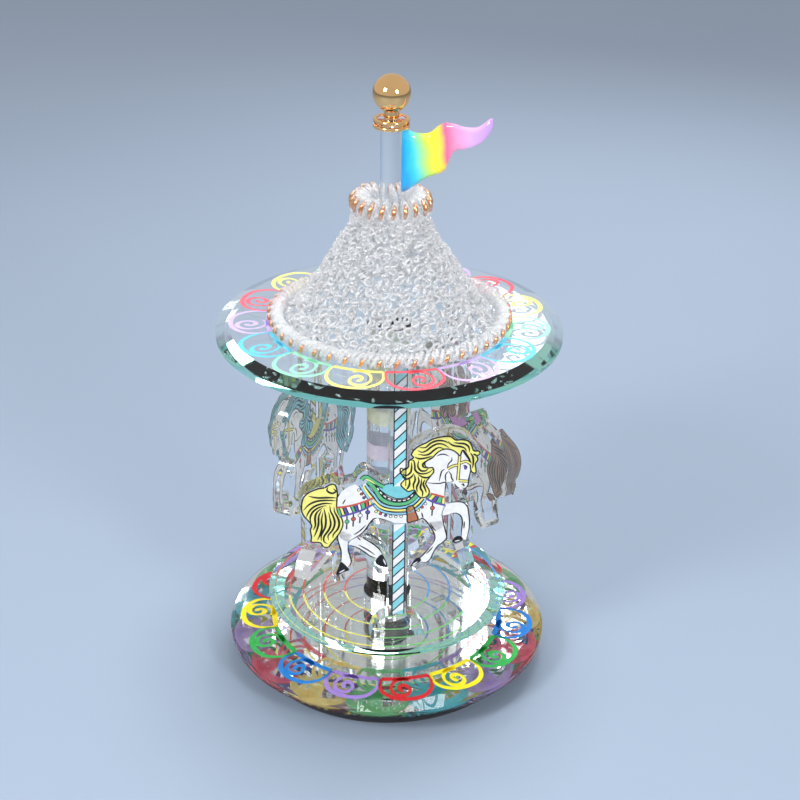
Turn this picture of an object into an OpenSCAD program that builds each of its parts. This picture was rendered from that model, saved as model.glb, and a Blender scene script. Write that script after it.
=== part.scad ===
// Carousel music box: a mirrored glass base over a slim wind-up movement, and a
// turning glass carousel with three horses, a lace roof, a mast and a pennant.
// Millimetres, +Z up. The origin is the centre of the base, on the surface it stands on.

/* [Case] */
// Radius of the black movement case
case_r = 43.3; // [42.5:0.1:52]
// Thickness of the case's side wall
case_wall = 1.5; // [1:0.1:2]
// Thickness of the case's top plate
case_top_t = 1; // [1:0.1:2]
// Height of the clear space for the movement, from bedplate to top plate
train_h = 4; // [4:0.1:6]
// Thickness of the felt ring under the case
pad_t = 0.8; // [0.8:0.1:1.5]
// Width of the felt ring
pad_w = 2.4; // [1.5:0.1:3]
// Thickness of the bottom cover
cover_t = 0.7; // [0.6:0.1:1.2]
// Gap between the cover's rim and the case wall
cover_gap = 0.3; // [0.1:0.05:0.6]
// Thickness of the brass bedplate
bed_t = 0.7; // [0.6:0.1:1]
// Radius of the brass bedplate
bed_r = 32.5; // [31:0.1:34]
// Space between the cover and the bedplate
bed_lift = 0.8; // [0.8:0.1:1.5]

/* [Glass discs] */
// Radius of the mirrored base disc
base_r = 50.8; // [48:0.1:65]
// Thickness of the mirrored base disc
base_t = 3.4; // [2.5:0.1:6]
// Radius of the turning platform disc
platform_r = 38.1; // [34:0.1:48]
// Thickness of the platform disc
platform_t = 4; // [3:0.1:6]
// Width of the platform's bevel, which looks down
platform_bevel_w = 4.8; // [3:0.1:6]
// Height of the straight edge above the platform's bevel
platform_edge_h = 0.6; // [0.4:0.1:1.2]
// Radius of the canopy disc
canopy_r = 51.5; // [40:0.1:65]
// Thickness of the canopy disc
canopy_t = 3.3; // [2.5:0.1:6]
// Width of the bevel on top of the base disc and the canopy
bevel_w = 4; // [2:0.1:6]
// Height of the straight edge that the bevel leaves
edge_h = 1.8; // [1:0.1:2.2]

/* [Carousel] */
// Radius of the glass hub under the platform
hub_r = 7.6; // [6:0.1:10]
// Height of the glass hub
hub_h = 6.2; // [5:0.1:12]
// Radius of the clear centre column
column_r = 6.7; // [4:0.1:9]
// Height from the platform to the canopy
column_h = 90.4; // [75:0.1:120]
// Distance from the centre to the horses' poles
pole_ring_r = 26.5; // [22:0.1:32]
// Thickness of the horse plates
plate_t = 5.5; // [3:0.1:6.5]
// Width of each pole
pole_w = 5.6; // [4:0.1:8]
// Radius of the half-round foot of each pole
foot_r = 8.3; // [6:0.1:10]
// Length of a horse from tail to muzzle
horse_len = 52; // [40:0.5:56]
// Height of the front horse's belly above the platform
front_belly_h = 40.5; // [30:0.5:50]
// Height of the right horse's belly above the platform
right_belly_h = 41.5; // [30:0.5:50]
// Height of the left horse's belly above the platform
left_belly_h = 40; // [30:0.5:50]
// Direction of the front pole
front_angle = -83; // [-95:1:-70]
// Direction of the right pole
right_angle = 35; // [25:1:45]
// Direction of the left pole
left_angle = 158; // [145:1:165]

/* [Roof and mast] */
// Radius of the roof at its foot
roof_foot_r = 31.4; // [26:0.1:36]
// Radius of the roof at its neck
roof_neck_r = 10.2; // [8:0.1:13]
// Height of the roof
roof_h = 33; // [24:0.5:45]
// Thickness of the lace wall
roof_t = 2.4; // [1.5:0.1:4]
// Thickness of the rope coil round the roof's foot
rim_coil_d = 4.6; // [3:0.1:6]
// Gap between the roof's foot and the rope coil
rim_coil_gap = 0.3; // [0:0.1:1]
// Thickness of the ruffle round the roof's neck
collar_coil_d = 5.4; // [4:0.1:6]
// Radius of the glass mast
mast_r = 3.1; // [2:0.1:4]
// Height of the mast above the canopy
mast_h = 58.7; // [50:0.1:75]
// Radius of the gilded collar on the mast
mast_collar_r = 5.3; // [4:0.1:7]
// Height of the gilded collar
mast_collar_h = 3; // [2:0.1:4]
// Radius of the gold ball
ball_r = 5.4; // [4:0.1:7]
// Height of the neck under the ball
ball_neck_h = 1.4; // [1:0.1:3]
// Height of the pennant's root on the mast
flag_root_h = 18.5; // [12:0.5:20]
// Length of the pennant
flag_len = 25.8; // [18:0.1:32]
// Thickness of the pennant
flag_t = 1.6; // [1:0.1:2.5]
// Sideways swing of the pennant's wave
flag_wave = 1.6; // [0:0.1:2.5]

/* [Movement] */
// Radius of the centre shaft
shaft_r = 1.5; // [1.2:0.05:2]
// Radial clearance of a running fit
fit = 0.05; // [0.03:0.01:0.08]
// Wall of the shaft bush
bush_wall = 1.45; // [1:0.05:2]
// Height of the bush above the case
bush_rise = 0.6; // [0.3:0.1:1]
// Thickness of the thrust washer
washer_t = 0.4; // [0.3:0.1:0.8]
// Gear module of the barrel and its pinion
barrel_module = 0.45; // [0.4:0.01:0.47]
// Teeth on the barrel
barrel_teeth = 72; // [72]
// Teeth on the shaft pinion
pinion_teeth = 18; // [18]
// Gear module of the centre wheel and second pinion
centre_module = 0.4; // [0.36:0.01:0.42]
// Teeth on the centre wheel
centre_teeth = 72; // [72]
// Teeth on the second pinion
second_pinion_teeth = 12; // [12]
// Gear module of the second wheel and fly pinion
fly_module = 0.35; // [0.32:0.01:0.36]
// Teeth on the second wheel
second_teeth = 60; // [60]
// Teeth on the fly pinion
fly_teeth = 10; // [10]
// Thickness of the thin train wheel
wheel_t = 0.5; // [0.4:0.05:0.6]
// Thickness of the upper wheels
upper_wheel_t = 0.6; // [0.5:0.05:0.7]
// Radius of the spring barrel's drum
drum_r = 7; // [6:0.1:7.2]
// Wall of the spring barrel's drum
drum_wall = 0.7; // [0.5:0.05:1]
// Thickness of the barrel's lid
lid_t = 0.4; // [0.3:0.05:0.5]
// Thickness of the mainspring's strip
spring_t = 0.15; // [0.1:0.01:0.2]
// Turns of the mainspring
spring_turns = 9; // [6:1:11]
// Radius of the pinned plateau
plateau_r = 13; // [12.5:0.1:13.1]
// Thickness of the pinned plateau
plateau_t = 0.6; // [0.5:0.05:0.7]
// Height of the music pins
pin_h = 0.4; // [0.3:0.05:0.45]
// Radius of a music pin
pin_r = 0.15; // [0.1:0.01:0.2]
// Number of music pins
pin_count = 72; // [24:1:96]
// Number of comb teeth
comb_teeth = 12; // [8:1:12]
// Distance from one comb tooth to the next
comb_pitch = 0.6; // [0.5:0.05:0.65]
// Width of a comb tooth
comb_tooth_w = 0.45; // [0.3:0.05:0.5]
// Radius of the key's boss
boss_r = 3.2; // [2.6:0.1:3.6]
// Thickness of the key's boss
boss_t = 1.1; // [0.9:0.1:1.2]
// Thickness of the key ring's wire
ring_wire_d = 0.9; // [0.7:0.1:1]
// Radius of the key ring's bend
ring_r = 3.9; // [3.6:0.1:4.5]
// Reach of the key ring's straight arms
ring_arm = 2; // [1:0.1:3]

/* [Hidden] */
$fn = 96;

// Heights, from the floor up
cover_top = pad_t + cover_t;
bed_z = cover_top + bed_lift;
bed_top = bed_z + bed_t;
ceiling_z = bed_top + train_h;
case_top = ceiling_z + case_top_t;
mirror_top = case_top + base_t;
hub_gap = 0.4;
hub_z = mirror_top + hub_gap;
platform_z = hub_z + hub_h;
platform_top = platform_z + platform_t;
canopy_z = platform_top + column_h;
canopy_top = canopy_z + canopy_t;
neck_z = canopy_top + roof_h;
mast_top = canopy_top + mast_h;
ball_z = mast_top + mast_collar_h + ball_neck_h + ball_r;

// Layers of the movement: the upper wheels hang under the ceiling
upper_gap = 0.5;
upper_z = ceiling_z - upper_gap - upper_wheel_t;
pinion_over = 0.1;
low_wheel_z = bed_top + 0.2;
comb_t = 0.75;
comb_z = upper_z - comb_t;
comb_gap = 0.05;
plateau_z = comb_z - comb_gap - pin_h - plateau_t;

// Where each arbor stands
barrel_c = barrel_module * (barrel_teeth + pinion_teeth) / 2;
barrel_at = [barrel_c, 0];
second_c = centre_module * (centre_teeth + second_pinion_teeth) / 2;
second_dir = 130;
second_at = second_c * [cos(second_dir), sin(second_dir)];
fly_c = fly_module * (second_teeth + fly_teeth) / 2;
fly_dir = 100;
fly_at = second_at + fly_c * [cos(fly_dir), sin(fly_dir)];

// Pivots and arbors
arbor_r = 1.5;
arbor_core_r = 2;
arbor_pivot_r = 0.8;
key_shaft_r = 1.2;
shaft_pivot_r = 0.8;
second_shaft_r = 0.6;
second_pivot_r = 0.4;
fly_shaft_r = 0.5;
fly_pivot_r = 0.35;
pivot_depth = 0.5;
end_play = 0.05;
collar_r = shaft_r + 1.1;
mirror_hole_r = collar_r + 0.6;
shaft_in_hub = 4;

// Posts and screws
cover_post_r = 2;
cover_post_ring = case_r - case_wall - 1.3 - cover_post_r;
cover_post_angles = [45, 135, 225, 315];
cover_screw_r = 0.8;
cover_head_r = 1.6;
head_t = 0.6;
bed_post_r = 1.8;
bed_post_ring = bed_r - 3.5;
bed_post_angles = [70, 184, 290];
bed_screw_r = 0.6;
bed_head_r = 1.3;
bed_head_t = 0.5;
thread_l = 2.5;
screw_play = 0.05;

// Comb
comb_tip_r = 5.4;
comb_side = 0.3;
comb_in_y = -(comb_tip_r - comb_side - comb_tooth_w / 2);
comb_out_y = -(comb_tip_r + (comb_teeth - 1) * comb_pitch + comb_side + comb_tooth_w / 2);
comb_long = 8.2;
comb_short = 5.5;
comb_back = plateau_r + 2.3;
comb_tooth_t = 0.35;
comb_screw_x = -(plateau_r + 0.5);
comb_screw_ys = [comb_in_y - 1.4, comb_out_y + 1.4];
comb_screw_r = 0.5;
comb_head_r = 1;

// Key
boss_z = pad_t - 0.15;
ring_z = boss_z + boss_t / 2;
ring_reach = ring_arm + ring_r + ring_wire_d / 2;
key_hole_r = ring_reach + 0.9;
ring_pin_r = 0.3;
ring_pin_l = 1.2;

module at_angles(angles, ring) {
    for (a = angles) rotate(a) translate([ring, 0, 0]) children();
}

module ring(r_out, r_in, h) {
    difference() {
        cylinder(h = h, r = r_out);
        translate([0, 0, -1]) cylinder(h = h + 2, r = r_in);
    }
}

// A glass disc with a straight edge and a bevel above it
module bevelled_disc(r, t) {
    rotate_extrude() polygon([[0, 0], [r, 0], [r, edge_h], [r - bevel_w, t], [0, t]]);
}

// Involute gear, with one tooth centred on +X
addendum = 0.8;
dedendum = 1.15;
pressure = 20;
tooth_share = 0.42;
flank_steps = 3;
function involute(a) = tan(a) * 180 / PI - a;
function flank_angle(m, z, r) = let (base = m * z / 2 * cos(pressure))
    involute(pressure) - (r > base ? involute(acos(base / r)) : 0);
function flank_radius(m, z, i) = let (lo = m * (z / 2 - dedendum), hi = m * (z / 2 + addendum))
    lo + (hi - lo) * i / flank_steps;
function gear_tooth(m, z, turn) = let (half = 180 / z * tooth_share)
    concat(
        [for (i = [0:flank_steps]) let (r = flank_radius(m, z, i), a = half + flank_angle(m, z, r))
            r * [cos(turn - a), sin(turn - a)]],
        [for (i = [flank_steps:-1:0]) let (r = flank_radius(m, z, i), a = half + flank_angle(m, z, r))
            r * [cos(turn + a), sin(turn + a)]]);
module gear(m, z, h, bore, first = 0) {
    points = [for (k = [0:z - 1]) each gear_tooth(m, z, first + k * 360 / z)];
    difference() {
        linear_extrude(h) polygon(points);
        translate([0, 0, -1]) cylinder(h = h + 2, r = bore);
    }
}

module foot_pad() {
    color("black") ring(case_r - 0.1, case_r - 0.1 - pad_w, pad_t);
}

module bottom_cover() {
    color("#202022") difference() {
        translate([0, 0, pad_t]) cylinder(h = cover_t, r = case_r - case_wall - cover_gap);
        translate([barrel_at.x, barrel_at.y, 0]) cylinder(h = cover_top + 1, r = key_hole_r);
        at_angles(cover_post_angles, cover_post_ring)
            cylinder(h = cover_top + 1, r = cover_screw_r + screw_play);
    }
}

module screw(r, head_r, head_h, length) {
    translate([0, 0, -head_h]) cylinder(h = head_h, r = head_r);
    cylinder(h = length, r = r);
}

module cover_screws() {
    color("silver") at_angles(cover_post_angles, cover_post_ring) translate([0, 0, pad_t])
        screw(cover_screw_r, cover_head_r, head_t, cover_t + thread_l);
}

module base_case() {
    color("#141416") difference() {
        union() {
            translate([0, 0, ceiling_z]) cylinder(h = case_top_t, r = case_r);
            translate([0, 0, pad_t]) ring(case_r, case_r - case_wall, ceiling_z - pad_t);
            at_angles(cover_post_angles, cover_post_ring) translate([0, 0, cover_top])
                cylinder(h = ceiling_z - cover_top, r = cover_post_r);
            at_angles(bed_post_angles, bed_post_ring) translate([0, 0, bed_top])
                cylinder(h = train_h, r = bed_post_r);
        }
        translate([0, 0, ceiling_z - 1]) cylinder(h = case_top_t + 2, r = shaft_r + fit + bush_wall);
        at_angles(cover_post_angles, cover_post_ring) translate([0, 0, cover_top - 1])
            cylinder(h = thread_l + 1.2, r = cover_screw_r);
        at_angles(bed_post_angles, bed_post_ring) translate([0, 0, bed_top - 1])
            cylinder(h = thread_l + 1.2, r = bed_screw_r);
        translate(concat(barrel_at, ceiling_z - 1))
            cylinder(h = 1.1 + pivot_depth, r = arbor_pivot_r + fit);
        translate(concat(second_at, ceiling_z - 1))
            cylinder(h = 1.1 + pivot_depth, r = second_pivot_r + fit);
        translate(concat(fly_at, ceiling_z - 1))
            cylinder(h = 1.1 + pivot_depth, r = fly_pivot_r + fit);
        for (y = comb_screw_ys) translate([comb_screw_x, y, ceiling_z - 1])
            cylinder(h = 1.1 + pivot_depth, r = comb_screw_r);
    }
}

module bedplate() {
    color("goldenrod") difference() {
        translate([0, 0, bed_z]) cylinder(h = bed_t, r = bed_r);
        translate([0, 0, bed_z - 1]) {
            cylinder(h = bed_t + 2, r = shaft_pivot_r + fit);
            translate(barrel_at) cylinder(h = bed_t + 2, r = key_shaft_r + fit);
            translate(second_at) cylinder(h = bed_t + 2, r = second_pivot_r + fit);
            translate(fly_at) cylinder(h = bed_t + 2, r = fly_pivot_r + fit);
            at_angles(bed_post_angles, bed_post_ring)
                cylinder(h = bed_t + 2, r = bed_screw_r + screw_play);
        }
    }
}

module bedplate_screws() {
    color("silver") at_angles(bed_post_angles, bed_post_ring) translate([0, 0, bed_z])
        screw(bed_screw_r, bed_head_r, bed_head_t, bed_t + thread_l);
}

module shaft_bush() {
    color("goldenrod") translate([0, 0, ceiling_z])
        ring(shaft_r + fit + bush_wall, shaft_r + fit, case_top_t + bush_rise);
}

module thrust_washer() {
    color("white") translate([0, 0, case_top + bush_rise])
        ring(collar_r, shaft_r + fit, washer_t);
}

module base_mirror() {
    color("#d8d4dc") difference() {
        translate([0, 0, case_top]) bevelled_disc(base_r, base_t);
        translate([0, 0, case_top - 1]) cylinder(h = base_t + 2, r = mirror_hole_r);
    }
}

module comb_base() {
    color("goldenrod") difference() {
        translate([-comb_back, comb_out_y, upper_z])
            cube([comb_back - comb_long - 1, comb_in_y - comb_out_y, ceiling_z - upper_z]);
        for (y = comb_screw_ys) translate([comb_screw_x, y, upper_z - 1])
            cylinder(h = ceiling_z - upper_z + 2, r = comb_screw_r + screw_play);
    }
}

module comb() {
    color("silver") difference() {
        union() {
            translate([0, 0, comb_z]) linear_extrude(comb_t)
                polygon([[-comb_long, comb_in_y], [-comb_short, comb_out_y],
                    [-comb_back, comb_out_y], [-comb_back, comb_in_y]]);
            for (i = [0:comb_teeth - 1]) {
                reach = comb_long + (comb_short - comb_long) * i / (comb_teeth - 1) + 0.3;
                y = -(comb_tip_r + i * comb_pitch);
                translate([-reach, y - comb_tooth_w / 2, comb_z])
                    cube([reach, comb_tooth_w, comb_tooth_t]);
            }
        }
        for (y = comb_screw_ys) translate([comb_screw_x, y, comb_z - 1])
            cylinder(h = comb_t + 2, r = comb_screw_r + screw_play);
    }
}

module comb_screws() {
    color("steelblue") for (y = comb_screw_ys) translate([comb_screw_x, y, comb_z])
        screw(comb_screw_r, comb_head_r, head_t, ceiling_z - comb_z + pivot_depth);
}

// One-way clutch: a close coil round the key's shaft, with a leg held in the bedplate
module clutch_spring() {
    wire_r = 0.1;
    coil_r = key_shaft_r + fit + wire_r;
    leg_x = coil_r + 2.4;
    color("silver") translate(concat(barrel_at, bed_z)) {
        for (i = [0:1]) rotate_extrude() translate([coil_r, -0.35 + i * wire_r * 1.6]) circle(wire_r, $fn = 24);
        translate([coil_r, 0, -0.19]) rotate([0, 90, 0]) cylinder(h = leg_x - coil_r, r = wire_r, $fn = 24);
        translate([leg_x, 0, -0.19]) cylinder(h = 0.19, r = wire_r, $fn = 24);
    }
}

// The barrel's lid runs over the centre wheel's rim
lid_gap = 0.15;
lid_z = low_wheel_z + wheel_t + lid_gap;
drum_z = lid_z + lid_t;
module spring_barrel() {
    color("goldenrod") translate(concat(barrel_at, 0)) {
        translate([0, 0, upper_z])
            gear(barrel_module, barrel_teeth, upper_wheel_t, arbor_r + fit, 180 + 180 / barrel_teeth);
        translate([0, 0, drum_z]) ring(drum_r, drum_r - drum_wall, upper_z - drum_z);
    }
}

module barrel_lid() {
    color("goldenrod") translate(concat(barrel_at, lid_z)) ring(drum_r, arbor_r + fit, lid_t);
}

// The strip coils evenly from just off the arbor's core to just off the drum's wall
spring_steps = 24;
spring_in = arbor_core_r + 0.3;
spring_out = drum_r - drum_wall - 0.2 - spring_t;
function spring_point(i, side) = let (a = i * 360 / spring_steps,
    r = spring_in + (spring_out - spring_in) * i / (spring_turns * spring_steps) + side)
    r * [cos(a), sin(a)];
module mainspring() {
    last = spring_turns * spring_steps;
    points = concat([for (i = [0:last]) spring_point(i, 0)],
        [for (i = [last:-1:0]) spring_point(i, spring_t)]);
    color("steelblue") translate(concat(barrel_at, drum_z + 0.3))
        linear_extrude(upper_z - drum_z - 0.6) polygon(points);
}

module barrel_arbor() {
    color("silver") translate(concat(barrel_at, 0)) {
        translate([0, 0, boss_z]) cylinder(h = bed_top + end_play - boss_z, r = key_shaft_r);
        translate([0, 0, bed_top + end_play])
            cylinder(h = ceiling_z - bed_top - 2 * end_play, r = arbor_r);
        translate([0, 0, drum_z + end_play])
            cylinder(h = upper_z - drum_z - 2 * end_play, r = arbor_core_r);
        translate([0, 0, ceiling_z - end_play]) cylinder(h = pivot_depth, r = arbor_pivot_r);
    }
}

module key_boss() {
    color("gold") translate(concat(barrel_at, 0)) difference() {
        translate([0, 0, boss_z]) cylinder(h = boss_t, r = boss_r);
        translate([0, 0, boss_z - 1]) cylinder(h = boss_t + 2, r = key_shaft_r);
        for (s = [-1, 1]) translate([0, s * (boss_r - ring_pin_l), ring_z])
            rotate([-90 * s, 0, 0]) cylinder(h = ring_pin_l + 1, r = ring_pin_r + fit);
    }
}

module key_ring() {
    wire_r = ring_wire_d / 2;
    color("gold") translate([barrel_at.x, barrel_at.y, ring_z]) {
        for (s = [-1, 1]) {
            translate([0, s * ring_r, 0]) rotate([0, 90, 0]) cylinder(h = ring_arm, r = wire_r);
            translate([0, s * (boss_r - ring_pin_l + fit), 0]) rotate([-90 * s, 0, 0])
                cylinder(h = ring_r - boss_r + ring_pin_l - fit, r = ring_pin_r);
            translate([0, s * ring_r, 0]) sphere(wire_r);
        }
        translate([ring_arm, 0, 0]) rotate(-90) rotate_extrude(angle = 180)
            translate([ring_r, 0]) circle(wire_r);
    }
}

washer_top = case_top + bush_rise + washer_t;
module center_shaft() {
    color("silver") {
        translate([0, 0, bed_top - pivot_depth]) cylinder(h = pivot_depth + end_play, r = shaft_pivot_r);
        translate([0, 0, bed_top + end_play])
            cylinder(h = hub_z + shaft_in_hub - bed_top - end_play, r = shaft_r);
        translate([0, 0, washer_top + end_play])
            cylinder(h = hub_z - washer_top - end_play, r = collar_r);
    }
}

module shaft_pinion() {
    color("goldenrod") translate([0, 0, upper_z - pinion_over])
        gear(barrel_module, pinion_teeth, upper_wheel_t + 2 * pinion_over, shaft_r);
}

module center_wheel() {
    color("goldenrod") translate([0, 0, low_wheel_z])
        gear(centre_module, centre_teeth, wheel_t, shaft_r, second_dir);
}

// Music pins stand on the comb's rows, each turned on from the last by the golden angle
golden_angle = 137.508;
module plateau_disc() {
    color("gold") {
        translate([0, 0, plateau_z]) ring(plateau_r, shaft_r, plateau_t);
        for (i = [0:pin_count - 1]) rotate(i * golden_angle)
            translate([comb_tip_r + (i * 5 % comb_teeth) * comb_pitch, 0, plateau_z + plateau_t / 2])
                cylinder(h = pin_h + plateau_t / 2, r = pin_r, $fn = 24);
    }
}

module train_arbor(shaft, pivot) {
    translate([0, 0, bed_top - pivot_depth]) cylinder(h = pivot_depth + end_play, r = pivot, $fn = 48);
    translate([0, 0, bed_top + end_play]) cylinder(h = train_h - 2 * end_play, r = shaft, $fn = 48);
    translate([0, 0, ceiling_z - end_play]) cylinder(h = pivot_depth, r = pivot, $fn = 48);
}

module second_arbor() {
    color("silver") translate(concat(second_at, 0)) {
        train_arbor(second_shaft_r, second_pivot_r);
        translate([0, 0, low_wheel_z - pinion_over])
            gear(centre_module, second_pinion_teeth, wheel_t + 2 * pinion_over, second_shaft_r / 2,
                second_dir + 180 + 180 / second_pinion_teeth);
    }
}

module second_wheel() {
    color("goldenrod") translate(concat(second_at, upper_z))
        gear(fly_module, second_teeth, upper_wheel_t, second_shaft_r, fly_dir);
}

module fly_arbor() {
    color("silver") translate(concat(fly_at, 0)) {
        train_arbor(fly_shaft_r, fly_pivot_r);
        translate([0, 0, upper_z - pinion_over])
            gear(fly_module, fly_teeth, upper_wheel_t + 2 * pinion_over, fly_shaft_r / 2,
                fly_dir + 180 + 180 / fly_teeth);
    }
}

module fly_vanes() {
    vane_l = 4.2;
    vane_t = 0.3;
    vane_z = bed_top + 0.3;
    vane_h = upper_z - pinion_over - 0.3 - vane_z;
    color("goldenrod") translate(concat(fly_at, vane_z)) difference() {
        union() {
            cylinder(h = vane_h, r = 1);
            translate([-vane_l, -vane_t / 2, 0]) cube([2 * vane_l, vane_t, vane_h]);
        }
        translate([0, 0, -1]) cylinder(h = vane_h + 2, r = fly_shaft_r);
    }
}

module hub() {
    color("#cfeee4") translate([0, 0, hub_z]) difference() {
        cylinder(h = hub_h, r = hub_r);
        translate([0, 0, -1]) cylinder(h = shaft_in_hub + 1, r = shaft_r);
    }
}

module platform_disc() {
    color("#bfe8dc") translate([0, 0, platform_z]) rotate_extrude()
        polygon([[0, 0], [platform_r - platform_bevel_w, 0],
                 [platform_r, platform_t - platform_edge_h], [platform_r, platform_t],
                 [0, platform_t]]);
}

module column() {
    color("#e8f4ee") translate([0, 0, platform_top]) cylinder(h = column_h, r = column_r);
}

// Horse outline in millimetres for a 52 mm horse: x runs forward from the pole, y up from the belly
HORSE_DRAWN_LEN = 52;
horse_back = [[0, 14.5], [-3, 13.8], [-5.5, 14.6], [-8, 17.4], [-10, 18.5], [-12, 17.2],
    [-13.2, 15], [-15.5, 14.4], [-17.8, 14], [-19.2, 15.4], [-21.2, 14.8], [-25, 13.4],
    [-28, 11.6], [-29.4, 8.4], [-28.6, 4], [-27.2, 0.6], [-27.4, -1.6], [-26, -4.4],
    [-23.8, -6], [-21.6, -7.6], [-19.4, -6.2], [-18.6, -8.6], [-18.4, -11.8], [-19.8, -16],
    [-18.6, -19.3], [-14.6, -17.2], [-13.4, -13.4], [-13.2, -8.8], [-10.4, -10.6],
    [-7.8, -14.4], [-5.8, -17], [-2.6, -17.2]];
horse_fore = [[0, -17.2], [3.4, -17], [6.6, -15.8], [9.6, -14.8], [11, -11.2], [13.6, -9.4],
    [15.4, -9.6], [17.4, -10.4], [20.8, -8.6], [22.2, -5], [21.8, 0.6], [20.8, 5.2],
    [18.2, 6.6], [17.2, 8.2], [18.6, 10.6], [21, 12], [21.6, 14.4], [22.8, 16],
    [23.6, 19.6], [24, 22.6], [22.4, 24.4], [20.8, 27.2], [17.4, 29.2], [14.6, 29.8],
    [10.4, 28.8], [6.4, 27.4], [4, 25.4], [1.4, 21], [0, 18]];
// Clear windows on both sides of the pole, under the belly
rear_window = [[-2.8, -0.4], [-5, 0.2], [-7.4, 0.2], [-9.6, -2], [-11.2, -4.2], [-8.4, -5.6],
    [-5.4, -7.6], [-3.6, -9.6], [-2.8, -11.4]];
fore_window = [[2.8, -0.8], [5, -0.6], [7, 0], [8.6, -1.8], [9.8, -4.4], [8.4, -7],
    [5.8, -9.8], [3.8, -11], [2.8, -12]];

// A smooth line through the given points
curve_steps = 3;
function bend(a, b, c, d, t) = 0.5 * (2 * b + (c - a) * t
    + (2 * a - 5 * b + 4 * c - d) * t * t + (3 * b - a - 3 * c + d) * t * t * t);
function smooth(p) = let (n = len(p))
    concat([for (i = [0:n - 2], k = [0:curve_steps - 1])
        bend(p[max(i - 1, 0)], p[i], p[i + 1], p[min(i + 2, n - 1)], k / curve_steps)], [p[n - 1]]);

module horse_plate(angle, belly_h) {
    grow = horse_len / HORSE_DRAWN_LEN;
    rotate(angle + 90) translate([0, plate_t / 2 - pole_ring_r, platform_top])
        rotate([90, 0, 0]) linear_extrude(plate_t) difference() {
            union() {
                translate([-pole_w / 2, 0]) square([pole_w, column_h]);
                intersection() {
                    circle(foot_r);
                    translate([-foot_r, 0]) square([2 * foot_r, foot_r]);
                }
                translate([0, belly_h]) scale(grow) {
                    polygon(smooth(concat(horse_back, horse_fore)));
                }
            }
            translate([0, belly_h]) scale(grow) {
                difference() {
                    union() {
                        polygon(smooth(rear_window));
                        polygon(smooth(fore_window));
                    }
                    square([pole_w / grow, 4 * HORSE_DRAWN_LEN], center = true);
                }
            }
        }
}

module horse_front() {
    color("lightyellow") horse_plate(front_angle, front_belly_h);
}

module horse_right() {
    color("plum") horse_plate(right_angle, right_belly_h);
}

module horse_left() {
    color("paleturquoise") horse_plate(left_angle, left_belly_h);
}

module canopy_disc() {
    color("#a8dcd8") translate([0, 0, canopy_z]) bevelled_disc(canopy_r, canopy_t);
}

module roof_shell() {
    wall_x = roof_t * roof_h / norm([roof_foot_r - roof_neck_r, roof_h]) * 1.3;
    color("white") translate([0, 0, canopy_top]) rotate_extrude()
        polygon([[roof_foot_r, 0], [roof_neck_r, roof_h], [roof_neck_r - wall_x, roof_h],
            [roof_foot_r - wall_x, 0]]);
}

module roof_rim_coil() {
    coil_r = rim_coil_d / 2;
    color("#f2e2cc") translate([0, 0, canopy_top + coil_r]) rotate_extrude()
        translate([roof_foot_r + rim_coil_gap + coil_r, 0]) circle(coil_r);
}

module roof_collar_coil() {
    coil_r = collar_coil_d / 2;
    sink = 0.4;
    color("#f2e2cc") translate([0, 0, neck_z]) difference() {
        rotate_extrude() translate([roof_neck_r - roof_t / 2, coil_r - sink]) circle(coil_r);
        translate([0, 0, -coil_r]) cylinder(h = coil_r, r = 2 * roof_neck_r);
    }
}

module mast() {
    color("#e8f4ee") translate([0, 0, canopy_top]) cylinder(h = mast_h, r = mast_r);
}

// The collar's rim is a half round
module mast_collar() {
    rim = mast_collar_h / 2;
    color("gold") translate([0, 0, mast_top]) {
        cylinder(h = mast_collar_h, r = mast_collar_r - rim);
        rotate_extrude() translate([mast_collar_r - rim, rim]) intersection() {
            circle(rim);
            translate([-rim / 2, -rim]) square([2 * rim, 2 * rim]);
        }
    }
}

module finial_ball() {
    color("gold") {
        translate([0, 0, mast_top + mast_collar_h])
            cylinder(h = ball_neck_h + ball_r / 4, r = mast_r * 0.7);
        translate([0, 0, ball_z]) sphere(ball_r);
    }
}

// Pennant outline: x runs out from the mast, y up from the root's foot, for 25.8 by 18.5 mm
FLAG_DRAWN = [25.8, 18.5];
flag_outline = [[0, 18.5], [2, 17.8], [4.4, 16.9], [6.6, 16.8], [8.4, 17.4], [10, 19.2],
    [12.4, 20.5], [15, 20.4], [18, 19.7], [21, 19.6], [23, 20.5], [24.6, 21.8], [25.6, 21.7],
    [25.8, 20.6], [25, 18.2], [23.6, 16.2], [21.6, 14.6], [18.6, 13.3], [15, 12.4],
    [12.8, 11.6], [13.4, 9.4], [13, 7.2], [11.4, 5.6], [8.4, 4.2], [5.4, 2.4], [3, 0.8], [0, 0]];
wave_steps = 16;
function wave(x) = flag_wave * sin(360 * x / flag_len);
module flag() {
    root_top = mast_h - 0.4;
    overlap = flag_t / 2;
    strip = concat([for (i = [0:wave_steps]) let (x = flag_len * i / wave_steps) [x, wave(x) + flag_t / 2]],
        [for (i = [wave_steps:-1:0]) let (x = flag_len * i / wave_steps) [x, wave(x) - flag_t / 2]]);
    color("yellowgreen") translate([0, 0, canopy_top + root_top - flag_root_h]) difference() {
        translate([mast_r - overlap / 4, 0, 0]) intersection() {
            rotate([90, 0, 0]) translate([0, 0, -2 * flag_wave - flag_t])
                linear_extrude(4 * flag_wave + 2 * flag_t)
                scale([flag_len / FLAG_DRAWN.x, flag_root_h / FLAG_DRAWN.y])
                polygon(smooth(flag_outline));
            translate([0, 0, -flag_root_h]) linear_extrude(3 * flag_root_h) polygon(strip);
        }
        translate([0, 0, -flag_root_h]) cylinder(h = 3 * flag_root_h, r = mast_r);
    }
}

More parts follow.
